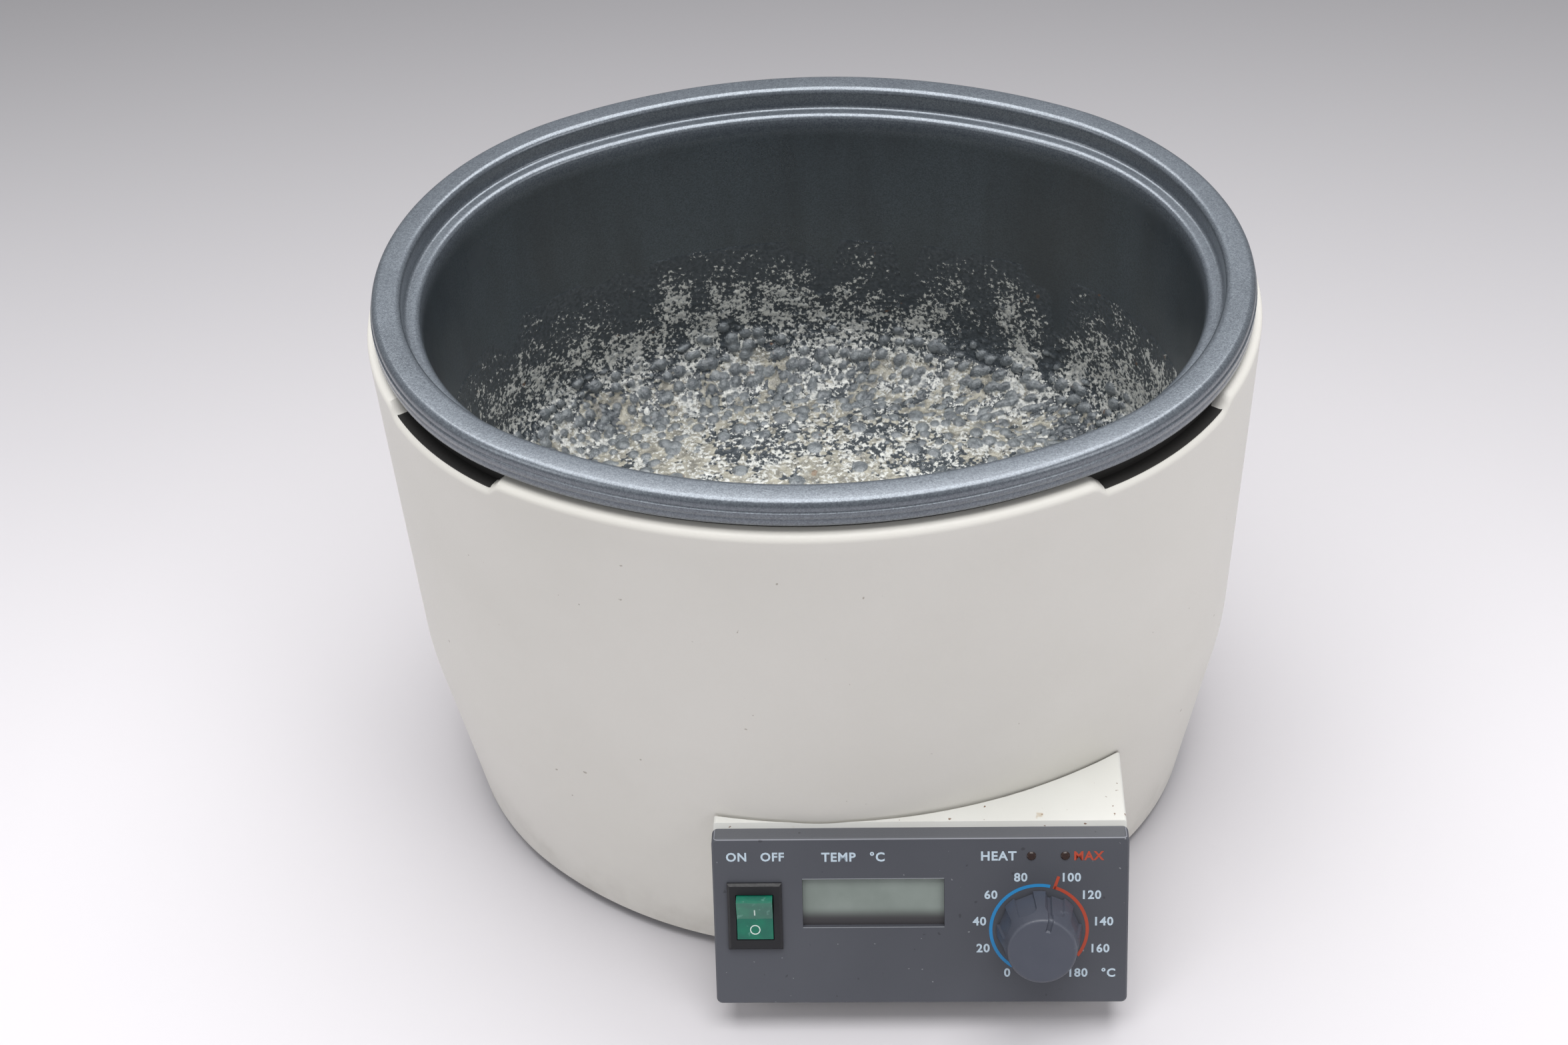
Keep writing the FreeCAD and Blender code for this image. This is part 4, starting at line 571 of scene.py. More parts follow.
def pan_section():
    """The closed skin of the sheet as (inset, height) pairs."""
    corner_top = FLOOR + CORNER - CORNER * math.sin(lean)
    inside = [bend(corner_middle, CORNER, 270, 180 + lean_degrees, 18),
              wall_rows(corner_top, LEDGE_TOP - 2.2, 0.0, 24)[1:],
              bend((WELL_EDGE - 2.1, LEDGE_TOP - 2.1), 2.1, lean_degrees, 90, 9),
              bend((RIM_WIDTH + 1.3, LEDGE_TOP + 1.3), 1.3, 270, 180, 6),
              bend((RIM_WIDTH - 2.1, RIM_TOP - 2.1), 2.1, 0, 90, 9),
              bend((2.4, RIM_TOP - 2.4), 2.4, 90, 180, 10)]
    hem = np.array([(0.0, 206.5), (0.02, 206.1), (-0.12, 205.95), (-0.38, 205.8), (-0.45, 205.3),
                    (-0.45, 204.0), (-0.36, 203.85), (-0.36, 203.6), (-0.45, 203.45), (-0.45, 201.4),
                    (-0.2, 201.0), (0.4, 200.9), (1.5, 201.0)])
    under = [np.array([(SHEET, RIM_TOP - SHEET - 0.8), (SHEET + 0.8, RIM_TOP - SHEET),
                       (RIM_WIDTH - SHEET - 0.8, RIM_TOP - SHEET), (RIM_WIDTH - SHEET, RIM_TOP - SHEET - 0.8),
                       (RIM_WIDTH - SHEET, LEDGE_TOP - SHEET), (WELL_EDGE - SHEET, LEDGE_TOP - SHEET)]),
             wall_rows(LEDGE_TOP - SHEET - 1.0, FLOOR + CORNER, SHEET, 8),
             bend(corner_middle, CORNER + SHEET, 182.5, 270, 12)]
    return np.concatenate(inside + [hem] + under)


section = pan_section()
pan_mesh = mesh_from("drawn_pan", sweep(section), grid_faces(len(section), AROUND_OVAL, False))
piece("drawn_pan", pan_mesh, finishes["coated_aluminium"], replaces=("pan",))

# %% [markdown]
# ## Random fields
# Two functions of a plane give the crust: a soft noise, which blends random values on a lattice with
# an S-curve, and domes, each on its own jittered cell of a lattice. Both work on whole arrays, and
# both repeat after a number of cells, so that they close round the pan.

# %% Noise and domes
def soft_noise(across, along, period, seed):
    """Random values on a lattice of cells, blended between corners by t*t*(3 - 2*t)."""
    values = np.random.default_rng(seed).random((period, period))
    i, j = np.floor(across).astype(int), np.floor(along).astype(int)
    s, t = across - i, along - j
    s, t = s * s * (3 - 2 * s), t * t * (3 - 2 * t)
    low = values[i % period, j % period] * (1 - s) + values[(i + 1) % period, j % period] * s
    high = values[i % period, (j + 1) % period] * (1 - s) + values[(i + 1) % period, (j + 1) % period] * s
    return low * (1 - t) + high * t


def domes(across, along, period, seed, smallest, largest, likely):
    """The highest spherical cap at each point, in cells; a cell has one where its luck is below likely."""
    luck = np.random.default_rng(seed).random((4, period, period))
    i0, j0 = np.floor(across).astype(int), np.floor(along).astype(int)
    best = np.zeros_like(across)
    for di in (-1, 0, 1):
        for dj in (-1, 0, 1):
            i, j = i0 + di, j0 + dj
            shift_i, shift_j, size, chance = luck[:, i % period, j % period]
            reach = smallest + (largest - smallest) * size
            squared = (i + 0.2 + 0.6 * shift_i - across) ** 2 + (j + 0.2 + 0.6 * shift_j - along) ** 2
            present = np.clip((likely - chance) * 10, 0, 1)
            best = np.maximum(best, present * np.sqrt(np.maximum(reach ** 2 - squared, 0)))
    return best


# %% [markdown]
# ## The crust on the wall and the floor
# The crust is thick in the corner of the pan and thins out about 45 mm above the floor. It is a skin
# of its own: where nothing grows it dips just under the coat, and its back lies inside the sheet.

# %% Crust on the wall
COLUMNS = 800
CELL = 4.9
CELLS_ROUND = 140


def resample(ring, count):
    """Points at even steps of arc length along a closed ring."""
    closed = np.vstack([ring, ring[:1]])
    length = np.concatenate([[0], np.cumsum(np.linalg.norm(np.diff(closed, axis=0), axis=1))])
    at = np.linspace(0, length[-1], count, endpoint=False)
    return np.column_stack([np.interp(at, length, closed[:, axis]) for axis in range(2)])


def wall_crust():
    """Rows from the floor over the corner and up the wall, lifted along the surface's normal."""
    floor_rows = np.column_stack([np.linspace(corner_inset + 6, corner_inset, 9), np.full(9, FLOOR)])
    corner_rows = bend(corner_middle, CORNER, 270, 180 + lean_degrees, 58)[1:]
    upper_rows = wall_rows(corner_rows[-1, 1], 151.0, 0.0, 44)[1:]
    path = np.concatenate([floor_rows, corner_rows, upper_rows])
    step_length = np.linalg.norm(np.diff(path, axis=0), axis=1)
    travel = np.concatenate([[0], np.cumsum(step_length)])
    tangent = np.gradient(path, axis=0)
    normal = np.column_stack([-tangent[:, 1], tangent[:, 0]])
    normal *= np.sign(normal[:, 1:2] + 0.5 * normal[:, 0:1]) / np.linalg.norm(normal, axis=1, keepdims=True)

    column = np.arange(COLUMNS)[None, :] / COLUMNS * CELLS_ROUND
    row = travel[:, None] / CELL
    column, row = np.broadcast_arrays(column, row)
    height_over_floor = np.broadcast_to((path[:, 1] - FLOOR)[:, None], row.shape)
    ragged = soft_noise(column / 10, row * 0 + 3.3, CELLS_ROUND // 10, 5) * 14
    ragged = ragged + soft_noise(column / 2, row / 3, CELLS_ROUND // 2, 6) * 12
    fade = np.clip((60 - height_over_floor - ragged) / 20, 0, 1)
    streak = soft_noise(column, row / 3, CELLS_ROUND, 7)
    ring = np.clip((17 - height_over_floor - ragged * 0.3) / 10, 0, 1)
    low = np.clip((30 - height_over_floor - ragged * 0.5) / 12, 0, 1)
    big = domes(column, row, CELLS_ROUND, 11, 0.24, 0.58, low * 0.85)
    small = domes(column * 2, row * 2, CELLS_ROUND * 2, 12, 0.3, 0.52, np.clip(fade * 0.5 + low * 0.5, 0, 0.8))
    film = (soft_noise(column, row, CELLS_ROUND, 13) + soft_noise(column * 4, row * 4, CELLS_ROUND * 4, 14)) / 2
    lime = np.clip((film + 0.3 * streak - 0.5) * 4, 0, 1) * np.clip(ring * 1.5, 0, 1)
    dome = np.maximum(big * 1.1, small * 0.4)
    high = np.clip((94 - height_over_floor - ragged * 1.6) / 44, 0, 1)
    wet = high * np.clip(1.4 * soft_noise(column / 2, row / 4, CELLS_ROUND // 2, 16) + 0.12, 0, 1)
    height = dome * CELL * 0.6 + lime * 0.2 + np.clip(wet * 3, 0, 1) * 0.3 - 0.16
    first = np.clip(travel / 1.5, 0, 1)[:, None]
    height = height * first - 0.25 * (1 - first)
    height[-3:] = -0.3
    return path, normal, height, dome, lime, wet


# %% [markdown]
# The field of heights is laid on the pan's own curve. Each row becomes a ring at even steps, so that
# a blister keeps its size at the tight ends, and a few plain rows behind it close the skin.

# %% Wall crust mesh
def crust_points(path, normal, height):
    """The lifted rows, each on its own ring of the oval at even steps."""
    inner = np.stack([resample(rim_oval(inset), COLUMNS) for inset in path[:, 0]])
    outer = np.stack([resample(rim_oval(inset - 1.0), COLUMNS) for inset in path[:, 0]])
    inwards = inner - outer
    flat = inner + inwards * (height * normal[:, 0:1])[..., None]
    up = path[:, 1:2] + height * normal[:, 1:2]
    return np.concatenate([flat, up[..., None]], axis=-1)


path, normal, height, dome, lime, wet = wall_crust()
front_points = crust_points(path, normal, height)
back_rows = np.linspace(len(path) - 1, 0, 14).astype(int)
back_points = crust_points(path[back_rows], normal[back_rows], np.full((14, COLUMNS), -0.7))
all_points = np.concatenate([front_points, back_points])
blank = np.zeros((14, COLUMNS))


def carry(mesh, name, values):
    """Store one value at each point of a mesh."""
    layer = mesh.attributes.new(name, "FLOAT", "POINT")
    layer.data.foreach_set("value", values.astype(np.float32).ravel())


def crust_mesh(name, points, faces, dome, lime, wet):
    """A mesh that carries its three values at each point."""
    mesh = mesh_from(name, points, faces, sharp=80.0)
    carry(mesh, "dome", dome)
    carry(mesh, "lime", lime)
    carry(mesh, "wet", wet)
    return mesh


wall_mesh = crust_mesh("wall_scale", all_points, grid_faces(len(all_points), COLUMNS, True),
                       *(np.concatenate([field, blank]) for field in (dome, lime, wet)))
piece("wall_scale", wall_mesh, limed)

# %% [markdown]
# The floor is a disc. A square grid is bent onto it, so that its cells stay about equal: each square
# ring of the grid becomes one oval ring, and a cell's place along its side gives the direction.

# %% Crust on the floor
GRID = 296
SCALE_THICK, SPOTS, SPOT_RADIUS, FLOOR_INSET = 1.0, 48, 3.2, 43.9


def square_to_disc(count):
    """Radius and turn of each point of a square grid bent onto a disc, ring by ring."""
    a, b = np.meshgrid(np.linspace(-1, 1, count), np.linspace(-1, 1, count))
    wide = np.abs(a) > np.abs(b)
    radius = np.where(wide, a, b)
    with np.errstate(divide="ignore", invalid="ignore"):
        angle = np.where(wide, math.pi / 4 * b / a, math.pi / 2 - math.pi / 4 * a / b)
    angle = np.nan_to_num(angle)
    angle = np.where(radius < 0, angle + math.pi, angle)
    return np.abs(radius), np.mod(angle / (2 * math.pi), 1.0)


def spread_spots(x, y):
    """Low domes spread over the floor by the golden angle: turn is i times it, distance its root."""
    best = np.zeros_like(x)
    for i in range(SPOTS):
        share, turn = math.sqrt((i + 0.5) / SPOTS), i * math.pi * (3 - math.sqrt(5))
        middle_x = (RIM_OVAL[0] - FLOOR_INSET - SPOT_RADIUS) * share * math.cos(turn)
        middle_y = (RIM_OVAL[1] - FLOOR_INSET - SPOT_RADIUS) * share * math.sin(turn)
        apart = np.hypot(x - middle_x, y - middle_y) / SPOT_RADIUS
        best = np.maximum(best, np.sqrt(np.clip(1 - apart ** 2, 0, 1)))
    return best


print("a square of", GRID, "by", GRID, "points for the floor")

# %% [markdown]
# The same domes and lime as on the wall grow here, thicker towards the corner, on a thin even layer
# with a few broad spots. The skin is closed by a rim and one flat face below.

# %% Floor crust
def floor_crust():
    """Domes, spots and lime as a height over each point of the square grid bent onto the oval."""
    radius, turn = square_to_disc(GRID)
    edge = resample(rim_oval(corner_inset - 1.0), 1440) - [0.0, MIDDLE_Y]
    edge = np.vstack([edge, edge[:1]])
    start = math.atan2(edge[0, 1], edge[0, 0]) / (2 * math.pi)
    at = np.mod(turn - start, 1.0) * 1440
    x = radius * np.interp(at, np.arange(1441), edge[:, 0])
    y = radius * np.interp(at, np.arange(1441), edge[:, 1])
    across, along = (x + 200) / CELL, (y + 200) / CELL
    outer = np.clip((radius - 0.62) / 0.3, 0, 1)
    patch = soft_noise(across / 5, along / 5, 64, 21)
    big = domes(across, along, 128, 22, 0.24, 0.58, 0.04 + 0.85 * outer)
    small = domes(across * 2, along * 2, 256, 23, 0.26, 0.5, 0.35 + 0.3 * patch + 0.2 * outer)
    film = (soft_noise(across, along, 128, 24) + soft_noise(across * 4, along * 4, 256, 25)) / 2
    lime = np.clip((film + 0.5 * patch - 0.12 * (1 - outer) - 0.5) * 4, 0, 1)
    dome = np.maximum(big * 1.1, small * 0.34)
    spot = spread_spots(x, y)
    height = SCALE_THICK * 0.75 + np.maximum(dome * CELL * 0.46, spot) + lime * 0.25
    dome = np.maximum(dome, spot * 0.5)
    height = np.where(radius > 0.985, -0.3, height)
    return x, y, height, dome, lime


x, y, height, dome, lime = floor_crust()
top = np.stack([x, y + MIDDLE_Y, FLOOR + height], axis=-1).reshape(-1, 3)
index = np.arange(GRID * GRID).reshape(GRID, GRID)
quads = np.stack([index[:-1, :-1], index[:-1, 1:], index[1:, 1:], index[1:, :-1]], -1).reshape(-1, 4).tolist()
border = np.concatenate([index[0, :-1], index[:-1, -1], index[-1, :0:-1], index[:0:-1, 0]])
under = top[border] - [0, 0, 0.4]
lower = np.arange(len(border)) + len(top)
sides = np.stack([border, np.roll(border, -1), np.roll(lower, -1), lower], -1).tolist()
zeros = np.zeros(len(border))
floor_mesh = crust_mesh("floor_scale", np.vstack([top, under]), quads + sides + [lower.tolist()],
                        np.concatenate([dome.ravel(), zeros]), np.concatenate([lime.ravel(), zeros]),
                        np.full(dome.size + len(zeros), 0.8))
piece("floor_scale", floor_mesh, limed)

# %% [markdown]
# ## The moulded body
# The body is a shell of even wall. Its lower part is a ruled surface between the base's oval and the
# rim's, eased into the upright wall by a Bezier curve, which gives the soft crease. The lip at the
# top is rounded outside, and drops by its own depth at two finger notches with sloping ends.

# %% Body section rows
BASE_Z, CREASE, BAND = 5.0, 68.0, 8.0
LIP_TOP, SHELF, WALL = 198.3, 194.3, 3.0
OUTSET, LIP_WIDTH, SHELF_REACH = -3.0, 5.45, 16.0
BASE_OVAL, BASE_FORWARD = (134.5, 114.0, 102.0), 7.0
LIP_ROUND = 2.4
NOTCHES, NOTCH_RAMP = ((-159.2, -136.3), (-47.3, -22.4)), 1.6


def base_oval(inset):
    """The base's oval, moved forwards from the rim's."""
    return oval(*BASE_OVAL, inset) + [0.0, MIDDLE_Y - BASE_FORWARD]


def skirt_ring(height, inset):
    """A ring of the lower wall: straight from base to crease line, then a Bezier curve into the wall."""
    foot, wall = base_oval(inset), rim_oval(OUTSET + inset)
    share = (height - BASE_Z) / (CREASE - BASE_Z)
    if height > CREASE - BAND:
        t = (height - CREASE + BAND) / (2 * BAND)
        low = foot + (wall - foot) * (CREASE - BAND - BASE_Z) / (CREASE - BASE_Z)
        plan = low * (1 - t) ** 2 + wall * (2 * t * (1 - t) + t ** 2)
    else:
        plan = foot + (wall - foot) * share
    return np.column_stack([plan, np.full(len(plan), height)])


def notch_depth(ring):
    """How far the lip is cut down at each column: a ramp as long as it is deep at each end."""
    angle = np.degrees(np.arctan2(ring[:, 1] - MIDDLE_Y, ring[:, 0]))
    cut = np.zeros(len(angle))
    for start, stop in NOTCHES:
        inside = np.minimum(angle - start, stop - angle) / NOTCH_RAMP
        cut = np.maximum(cut, np.clip(inside, 0, 1))
    return cut * (LIP_TOP - SHELF - 0.06)


print("each notch opens", [stop - start for start, stop in NOTCHES], "degrees of the rim")

# %% [markdown]
# The rows are then stacked into one closed loop: up the outside, over the lip, along the shelf that
# the pan's seal sits on, and down the inside of the wall.

# %% Body grid
def body_grid():
    """Rings up the outside, over the lip with its notches, along the shelf and down the inside."""
    outer = rim_oval(OUTSET)
    cut = notch_depth(outer)
    heights = np.concatenate([np.linspace(BASE_Z, CREASE - BAND, 14),
                              np.linspace(CREASE - BAND, CREASE + BAND, 13)[1:]])
    outside = [skirt_ring(height, 0.0) for height in heights]
    upright = [np.column_stack([outer, np.full(len(outer), height)]) for height in np.linspace(82, 190, 10)]
    lip = []
    for angle in np.radians(np.linspace(0, 90, 8)):
        ring = rim_oval(OUTSET + LIP_ROUND * (1 - math.cos(angle)))
        lip.append(np.column_stack([ring, LIP_TOP - cut - LIP_ROUND * (1 - math.sin(angle))]))
    for inset, below in ((LIP_WIDTH - 0.25, 0.0), (LIP_WIDTH, 0.25)):
        lip.append(np.column_stack([rim_oval(OUTSET + inset), np.maximum(LIP_TOP - cut - below, SHELF + 0.01)]))
    inside = []
    for inset, height in ((LIP_WIDTH, SHELF), (SHELF_REACH, SHELF), (SHELF_REACH, SHELF - WALL),
                          (WALL, SHELF - WALL), (WALL, CREASE + BAND)):
        ring = rim_oval(OUTSET + inset)
        inside.append(np.column_stack([ring, np.full(len(ring), height)]))
    back = [skirt_ring(height, WALL) for height in (CREASE, CREASE - BAND, 40.0, 20.0, BASE_Z)]
    return np.stack(outside + upright + lip + inside + back)


body_points = body_grid()
shell_mesh = mesh_from("moulded_body", body_points, grid_faces(len(body_points), body_points.shape[1], True))

# %% [markdown]
# Through the two notches one sees a flat black flange, level with the shelf: seal rubber laid wider
# than the seal, as painted shade under the rim. It is a thin ring with a rectangular section, made by the same
# sweep as the pan.

# %% Seal flange
FLANGE_SECTION = ((-1.5, 194.32), (-1.5, 194.7), (2.55, 194.7), (2.55, 194.32))
# black seal rubber laid wider than the seal, partly as painted shade in the notches
flange_mesh = mesh_from("seal_and_shade_flange", sweep(FLANGE_SECTION), grid_faces(4, AROUND_OVAL, True))
piece("seal_and_shade_flange", flange_mesh, finishes["seal_rubber"])

# %% [markdown]
# The body also has a square boss at the back for the mains inlet, and an opening behind the console.
# These are joined and cut with Boolean modifiers, which are then applied, and the cutters are
# removed. Boxes and rods are the only shapes that it takes.

# %% Boxes, rods and Booleans
def box_mesh(name, low, high):
    """A box between two corners, in millimetres."""
    x, y, z = zip(low, high)
    points = [(x[i], y[j], z[k]) for i in (0, 1) for j in (0, 1) for k in (0, 1)]
    faces = [(0, 1, 3, 2), (4, 6, 7, 5), (0, 4, 5, 1), (2, 3, 7, 6), (0, 2, 6, 4), (1, 5, 7, 3)]
    return mesh_from(name, points, faces)


def rod_mesh(name, middle, radius, low, high, axis, sides=48):
    """A closed rod along one axis."""
    turn = np.linspace(0, 2 * math.pi, sides, endpoint=False)
    ring = np.column_stack([radius * np.cos(turn), radius * np.sin(turn)])
    ends = [np.insert(ring + middle, axis, level, axis=1) for level in (low, high)]
    return mesh_from(name, np.stack(ends), grid_faces(2, sides, False))


def apply_booleans(mesh, joins, cuts):
    """The mesh with some shapes joined to it and others cut out of it."""
    work = bpy.data.objects.new("work", mesh)
    bpy.context.scene.collection.objects.link(work)
    helpers = []
    for operation, shapes in (("UNION", joins), ("DIFFERENCE", cuts)):
        for shape in shapes:
            helper = bpy.data.objects.new("helper", shape)
            bpy.context.scene.collection.objects.link(helper)
            modifier = work.modifiers.new("cut", "BOOLEAN")
            modifier.operation, modifier.solver, modifier.object = operation, "EXACT", helper
            helpers.append(helper)
    bpy.context.view_layer.update()
    result = bpy.data.meshes.new_from_object(work.evaluated_get(bpy.context.evaluated_depsgraph_get()))
    for extra in helpers + [work]:
        bpy.data.objects.remove(extra)
    return result


print("wall of the body", WALL, "mm, shelf at", SHELF, "mm")

# %% [markdown]
# The places come from the boxes of the nodes that these openings take: the inlet, the thermal
# cut-out and the bezel.

# %% Bosses and openings
inlet_low, inlet_high = (np.array(corner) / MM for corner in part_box("appliance_inlet"))
cutout_low, cutout_high = (np.array(corner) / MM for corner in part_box("cutout_thermostat"))
bezel_low, bezel_high = (np.array(corner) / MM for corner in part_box("front_bezel"))
BACK_FACE = MIDDLE_Y + 115.5
BOSS_X, BOSS_Z, BOSS_HALF, BOSS_RISE = -20.0, 36.0, 46.0, 24.0
inlet_x, reset_x = (inlet_low[0] + inlet_high[0]) / 2, (cutout_low[0] + cutout_high[0]) / 2
boss = box_mesh("boss", (BOSS_X - BOSS_HALF, BACK_FACE - 22, BOSS_Z - BOSS_RISE),
                (BOSS_X + BOSS_HALF, BACK_FACE, BOSS_Z + BOSS_RISE))
hollow = box_mesh("boss_inside", (BOSS_X - BOSS_HALF + WALL, BACK_FACE - 40, BOSS_Z - BOSS_RISE + WALL),
                  (BOSS_X + BOSS_HALF - WALL, BACK_FACE - WALL, BOSS_Z + BOSS_RISE - WALL))
MOUTH_HALF, MOUTH_RISE, IN, OUT = 14.1, 15.3, BACK_FACE - 9, BACK_FACE + 5
mouth = box_mesh("inlet_mouth", (inlet_x - MOUTH_HALF, IN, BOSS_Z - MOUTH_RISE),
                 (inlet_x + MOUTH_HALF, OUT, BOSS_Z + MOUTH_RISE))
openings = [hollow, mouth, rod_mesh("neck_hole", (reset_x, BOSS_Z), 6.05, IN, OUT, 1)]
openings += [rod_mesh("screw_hole", (inlet_x + side * 20.0, BOSS_Z), 1.55, IN, OUT, 1, 24)
             for side in (-1, 1)]
openings.append(box_mesh("console_way", (bezel_low[0] + 4, bezel_low[1] - 30, 16.0),
                         (bezel_high[0] - 16, MIDDLE_Y - 55.5, 60.0)))
body_mesh = apply_booleans(shell_mesh, [boss], openings)
body_mesh.name = "moulded_body"
body_mesh.set_sharp_from_angle(angle=math.radians(35))
piece("moulded_body", body_mesh, finishes["body_plastic"], replaces=("housing",))

# %% [markdown]
# ## Places on the panel
# The panel leans back, by a given 28.5 degrees. Its own frame has x across, u up the slope and n
# straight out of it, measured from the foot of its front face.

# %% Panel frame
TILT = math.radians(28.5)
PANEL_FOOT = np.array([0.0, MIDDLE_Y - 149.0, 12.7])
UP_SLOPE = np.array([0.0, math.sin(TILT), math.cos(TILT)])
OUTWARD = np.array([0.0, -math.cos(TILT), math.sin(TILT)])


def on_panel(points):
    """Turn (x, u, n) points into places of the outline's frame: foot plus u and n along their axes."""
    points = np.asarray(points, dtype=float)
    return (PANEL_FOOT + points[..., 0:1] * np.array([1.0, 0, 0]) + points[..., 1:2] * UP_SLOPE
            + points[..., 2:3] * OUTWARD)


print("foot of the panel at", np.round(PANEL_FOOT, 2), "mm")

# %% [markdown]
# ## The knob
# The knob is a cone turned about its spindle, with eight flat flutes that end in half circles, a
# pointer groove down one side and onto its face, and a soft edge. A flute is a plane that cuts the
# cone, so inside its outline the radius is the plane's distance divided by the cosine of the turn.

# %% Knob
KNOB_X, KNOB_U, KNOB_FOOT, KNOB_TOP = 72.3, 26.9, 0.5, 16.5
KNOB_RADIUS, FACE_RADIUS, KNOB_EDGE = 14.2, 11.2, 1.2
FLUTE_WIDTH, FLUTE_DEPTH, FLUTE_TOP = 6.6, 1.25, 12.2
POINTER_TURN, POINTER_WIDTH, POINTER_DEPTH, POINTER_START = math.radians(14.5), 1.5, 0.8, 7.2
AROUND = 720


def soft_step(value, width):
    """0 below -width, 1 above width, an S-curve between."""
    t = np.clip(value / (2 * width) + 0.5, 0, 1)
    return t * t * (3 - 2 * t)


def knob_grid():
    """A section turned about the spindle; flutes and pointer groove take from its radius."""
    turn = np.linspace(0, 2 * math.pi, AROUND, endpoint=False)[None, :]
    slope = (KNOB_RADIUS - FACE_RADIUS) / (KNOB_TOP - KNOB_FOOT)
    inner = np.array([(0.0, 13.3), (3.05, 13.3), (3.05, 3.7), (6.8, 3.7), (6.8, KNOB_FOOT)])
    side_n = np.linspace(KNOB_FOOT, KNOB_TOP - KNOB_EDGE, 74)
    side = np.column_stack([KNOB_RADIUS - slope * (side_n - KNOB_FOOT), side_n])
    edge = bend((side[-1, 0] - KNOB_EDGE, KNOB_TOP - KNOB_EDGE), KNOB_EDGE, 8, 90, 9)
    face_r = np.concatenate([np.linspace(edge[-1, 0], POINTER_START - 1, 26)[1:],
                             np.linspace(POINTER_START - 1, 0, 8)[1:]])
    face = np.column_stack([face_r, np.full(len(face_r), KNOB_TOP)])
    profile = np.concatenate([inner, side, edge, face])
    radius, out = (np.broadcast_to(profile[:, i:i + 1], (len(profile), AROUND)).copy() for i in (0, 1))
    outer = np.arange(len(profile))[:, None] >= len(inner)
    for flute in range(8):
        apart = np.angle(np.exp(1j * (turn - math.pi / 8 - flute * math.pi / 4)))
        offset = radius * np.sin(apart)
        level = FLUTE_TOP - FLUTE_WIDTH / 2
        reach = np.hypot(offset, np.maximum(out - level, 0))
        inside = soft_step(FLUTE_WIDTH / 2 - reach, 0.16) * (np.abs(apart) < 0.6) * outer
        plane = (radius - FLUTE_DEPTH) / np.cos(np.clip(apart, -0.6, 0.6))
        radius = radius - inside * np.maximum(radius - plane, 0)
    apart = np.angle(np.exp(1j * (turn - POINTER_TURN)))
    offset = radius * np.sin(apart)
    groove = soft_step(POINTER_WIDTH / 2 - np.abs(offset), 0.3) * (np.abs(apart) < 0.8) * outer
    groove = groove * soft_step(radius - POINTER_START, 0.3)
    on_face = np.arange(len(profile))[:, None] >= len(inner) + len(side)
    radius = radius - np.where(on_face, 0, groove * POINTER_DEPTH)
    out = out - np.where(on_face, groove * POINTER_DEPTH, 0)
    return np.stack([KNOB_X + radius * np.sin(turn), KNOB_U + radius * np.cos(turn), out], axis=-1)


knob_points = knob_grid()
knob_faces = grid_faces(*knob_points.shape[:2], False)
knob_mesh = mesh_from("fluted_knob", on_panel(knob_points), knob_faces, sharp=50.0)
piece("fluted_knob", knob_mesh, finishes["knob_plastic"], body="dial",
      replaces=("temperature_knob",))

# %% [markdown]
# ## Printing on the panel
# Lettering starts as a text curve. Its mesh is scaled to a cap height, given a very small thickness,
# and laid on the panel. The scale round the knob is two arcs, cool blue and hot red, with a tick.

# %% Ink
def ink(name, colour):
    """A printing ink that wears thin over the bezel's paint."""
    material, tree, shader = new_material(name)
    worn = step(tree, noise(tree, 900.0, 3.0), 0.2, 0.35, 0.8, 1.0)
    link(tree, shader, Base_Color=mix(tree, worn, srgb(84, 86, 93), srgb(*colour)), Roughness=0.5)
    bump(tree, shader, noise(tree, 1600.0, 2.0), 0.00002)
    return material


pale_ink = ink("pale_ink", (196, 212, 224))
blue_ink = ink("blue_ink", (44, 138, 198))
red_ink = ink("red_ink", (182, 72, 48))
white_ink = ink("white_ink", (214, 230, 222))
# painted highlight: the grey for the two hair lines where light catches the display opening's edges
edge_highlight_ink = ink("edge_highlight_ink", (150, 154, 158))
INK_LIFT, INK_THICK = 0.012, 0.05


def flat_solid(outline_top, faces_top):
    """A thin closed plate: a flat mesh, its copy just above, and walls along its open edges."""
    points = np.asarray(outline_top, dtype=float)
    count = len(points)
    low = np.column_stack([points, np.full(count, INK_LIFT)])
    high = np.column_stack([points, np.full(count, INK_LIFT + INK_THICK)])
    edges = [(a, b) for face in faces_top for a, b in zip(face, [*face[1:], face[0]])]
    shared = set(edges)
    walls = [(a, b, b + count, a + count) for a, b in edges if (b, a) not in shared]
    faces = [tuple(face) for face in faces_top] + [tuple(i + count for i in face) for face in faces_top] + walls
    return np.vstack([low, high]), faces


print("ink lies", INK_LIFT, "mm over the paint")

# %% [markdown]
# ## Words and numbers
# A word could be a picture, but a mesh stays sharp at every distance. Its outline comes from
# Blender's own font, and one list names each number with its place round the knob.

# %% Lettering
def lettering(name, text, x, u, cap, material, bold=0.026, spacing=1.1, body="bath"):
    """Words on the panel, centred at x and u, with capitals of the given height."""
    curve = bpy.data.curves.new(name, "FONT")
    curve.body, curve.offset, curve.resolution_u, curve.space_character = text, bold, 3, spacing
    holder = bpy.data.objects.new(name, curve)
    bpy.context.scene.collection.objects.link(holder)
    bpy.context.view_layer.update()
    flat = bpy.data.meshes.new_from_object(holder.evaluated_get(bpy.context.evaluated_depsgraph_get()))
    bpy.data.objects.remove(holder)
    work = bmesh.new()
    work.from_mesh(flat)
    bmesh.ops.remove_doubles(work, verts=work.verts, dist=1e-5)
    points = np.array([vertex.co[:2] for vertex in work.verts])
    faces = [[vertex.index for vertex in face.verts] for face in work.faces]
    work.free()
    low, high = points.min(axis=0), points.max(axis=0)
    points = (points - (low + high) / 2) * cap / (high[1] - low[1]) + [x, u]
    solid, faces = flat_solid(points, faces)
    return piece(name, mesh_from(name, on_panel(solid), faces), material, body)


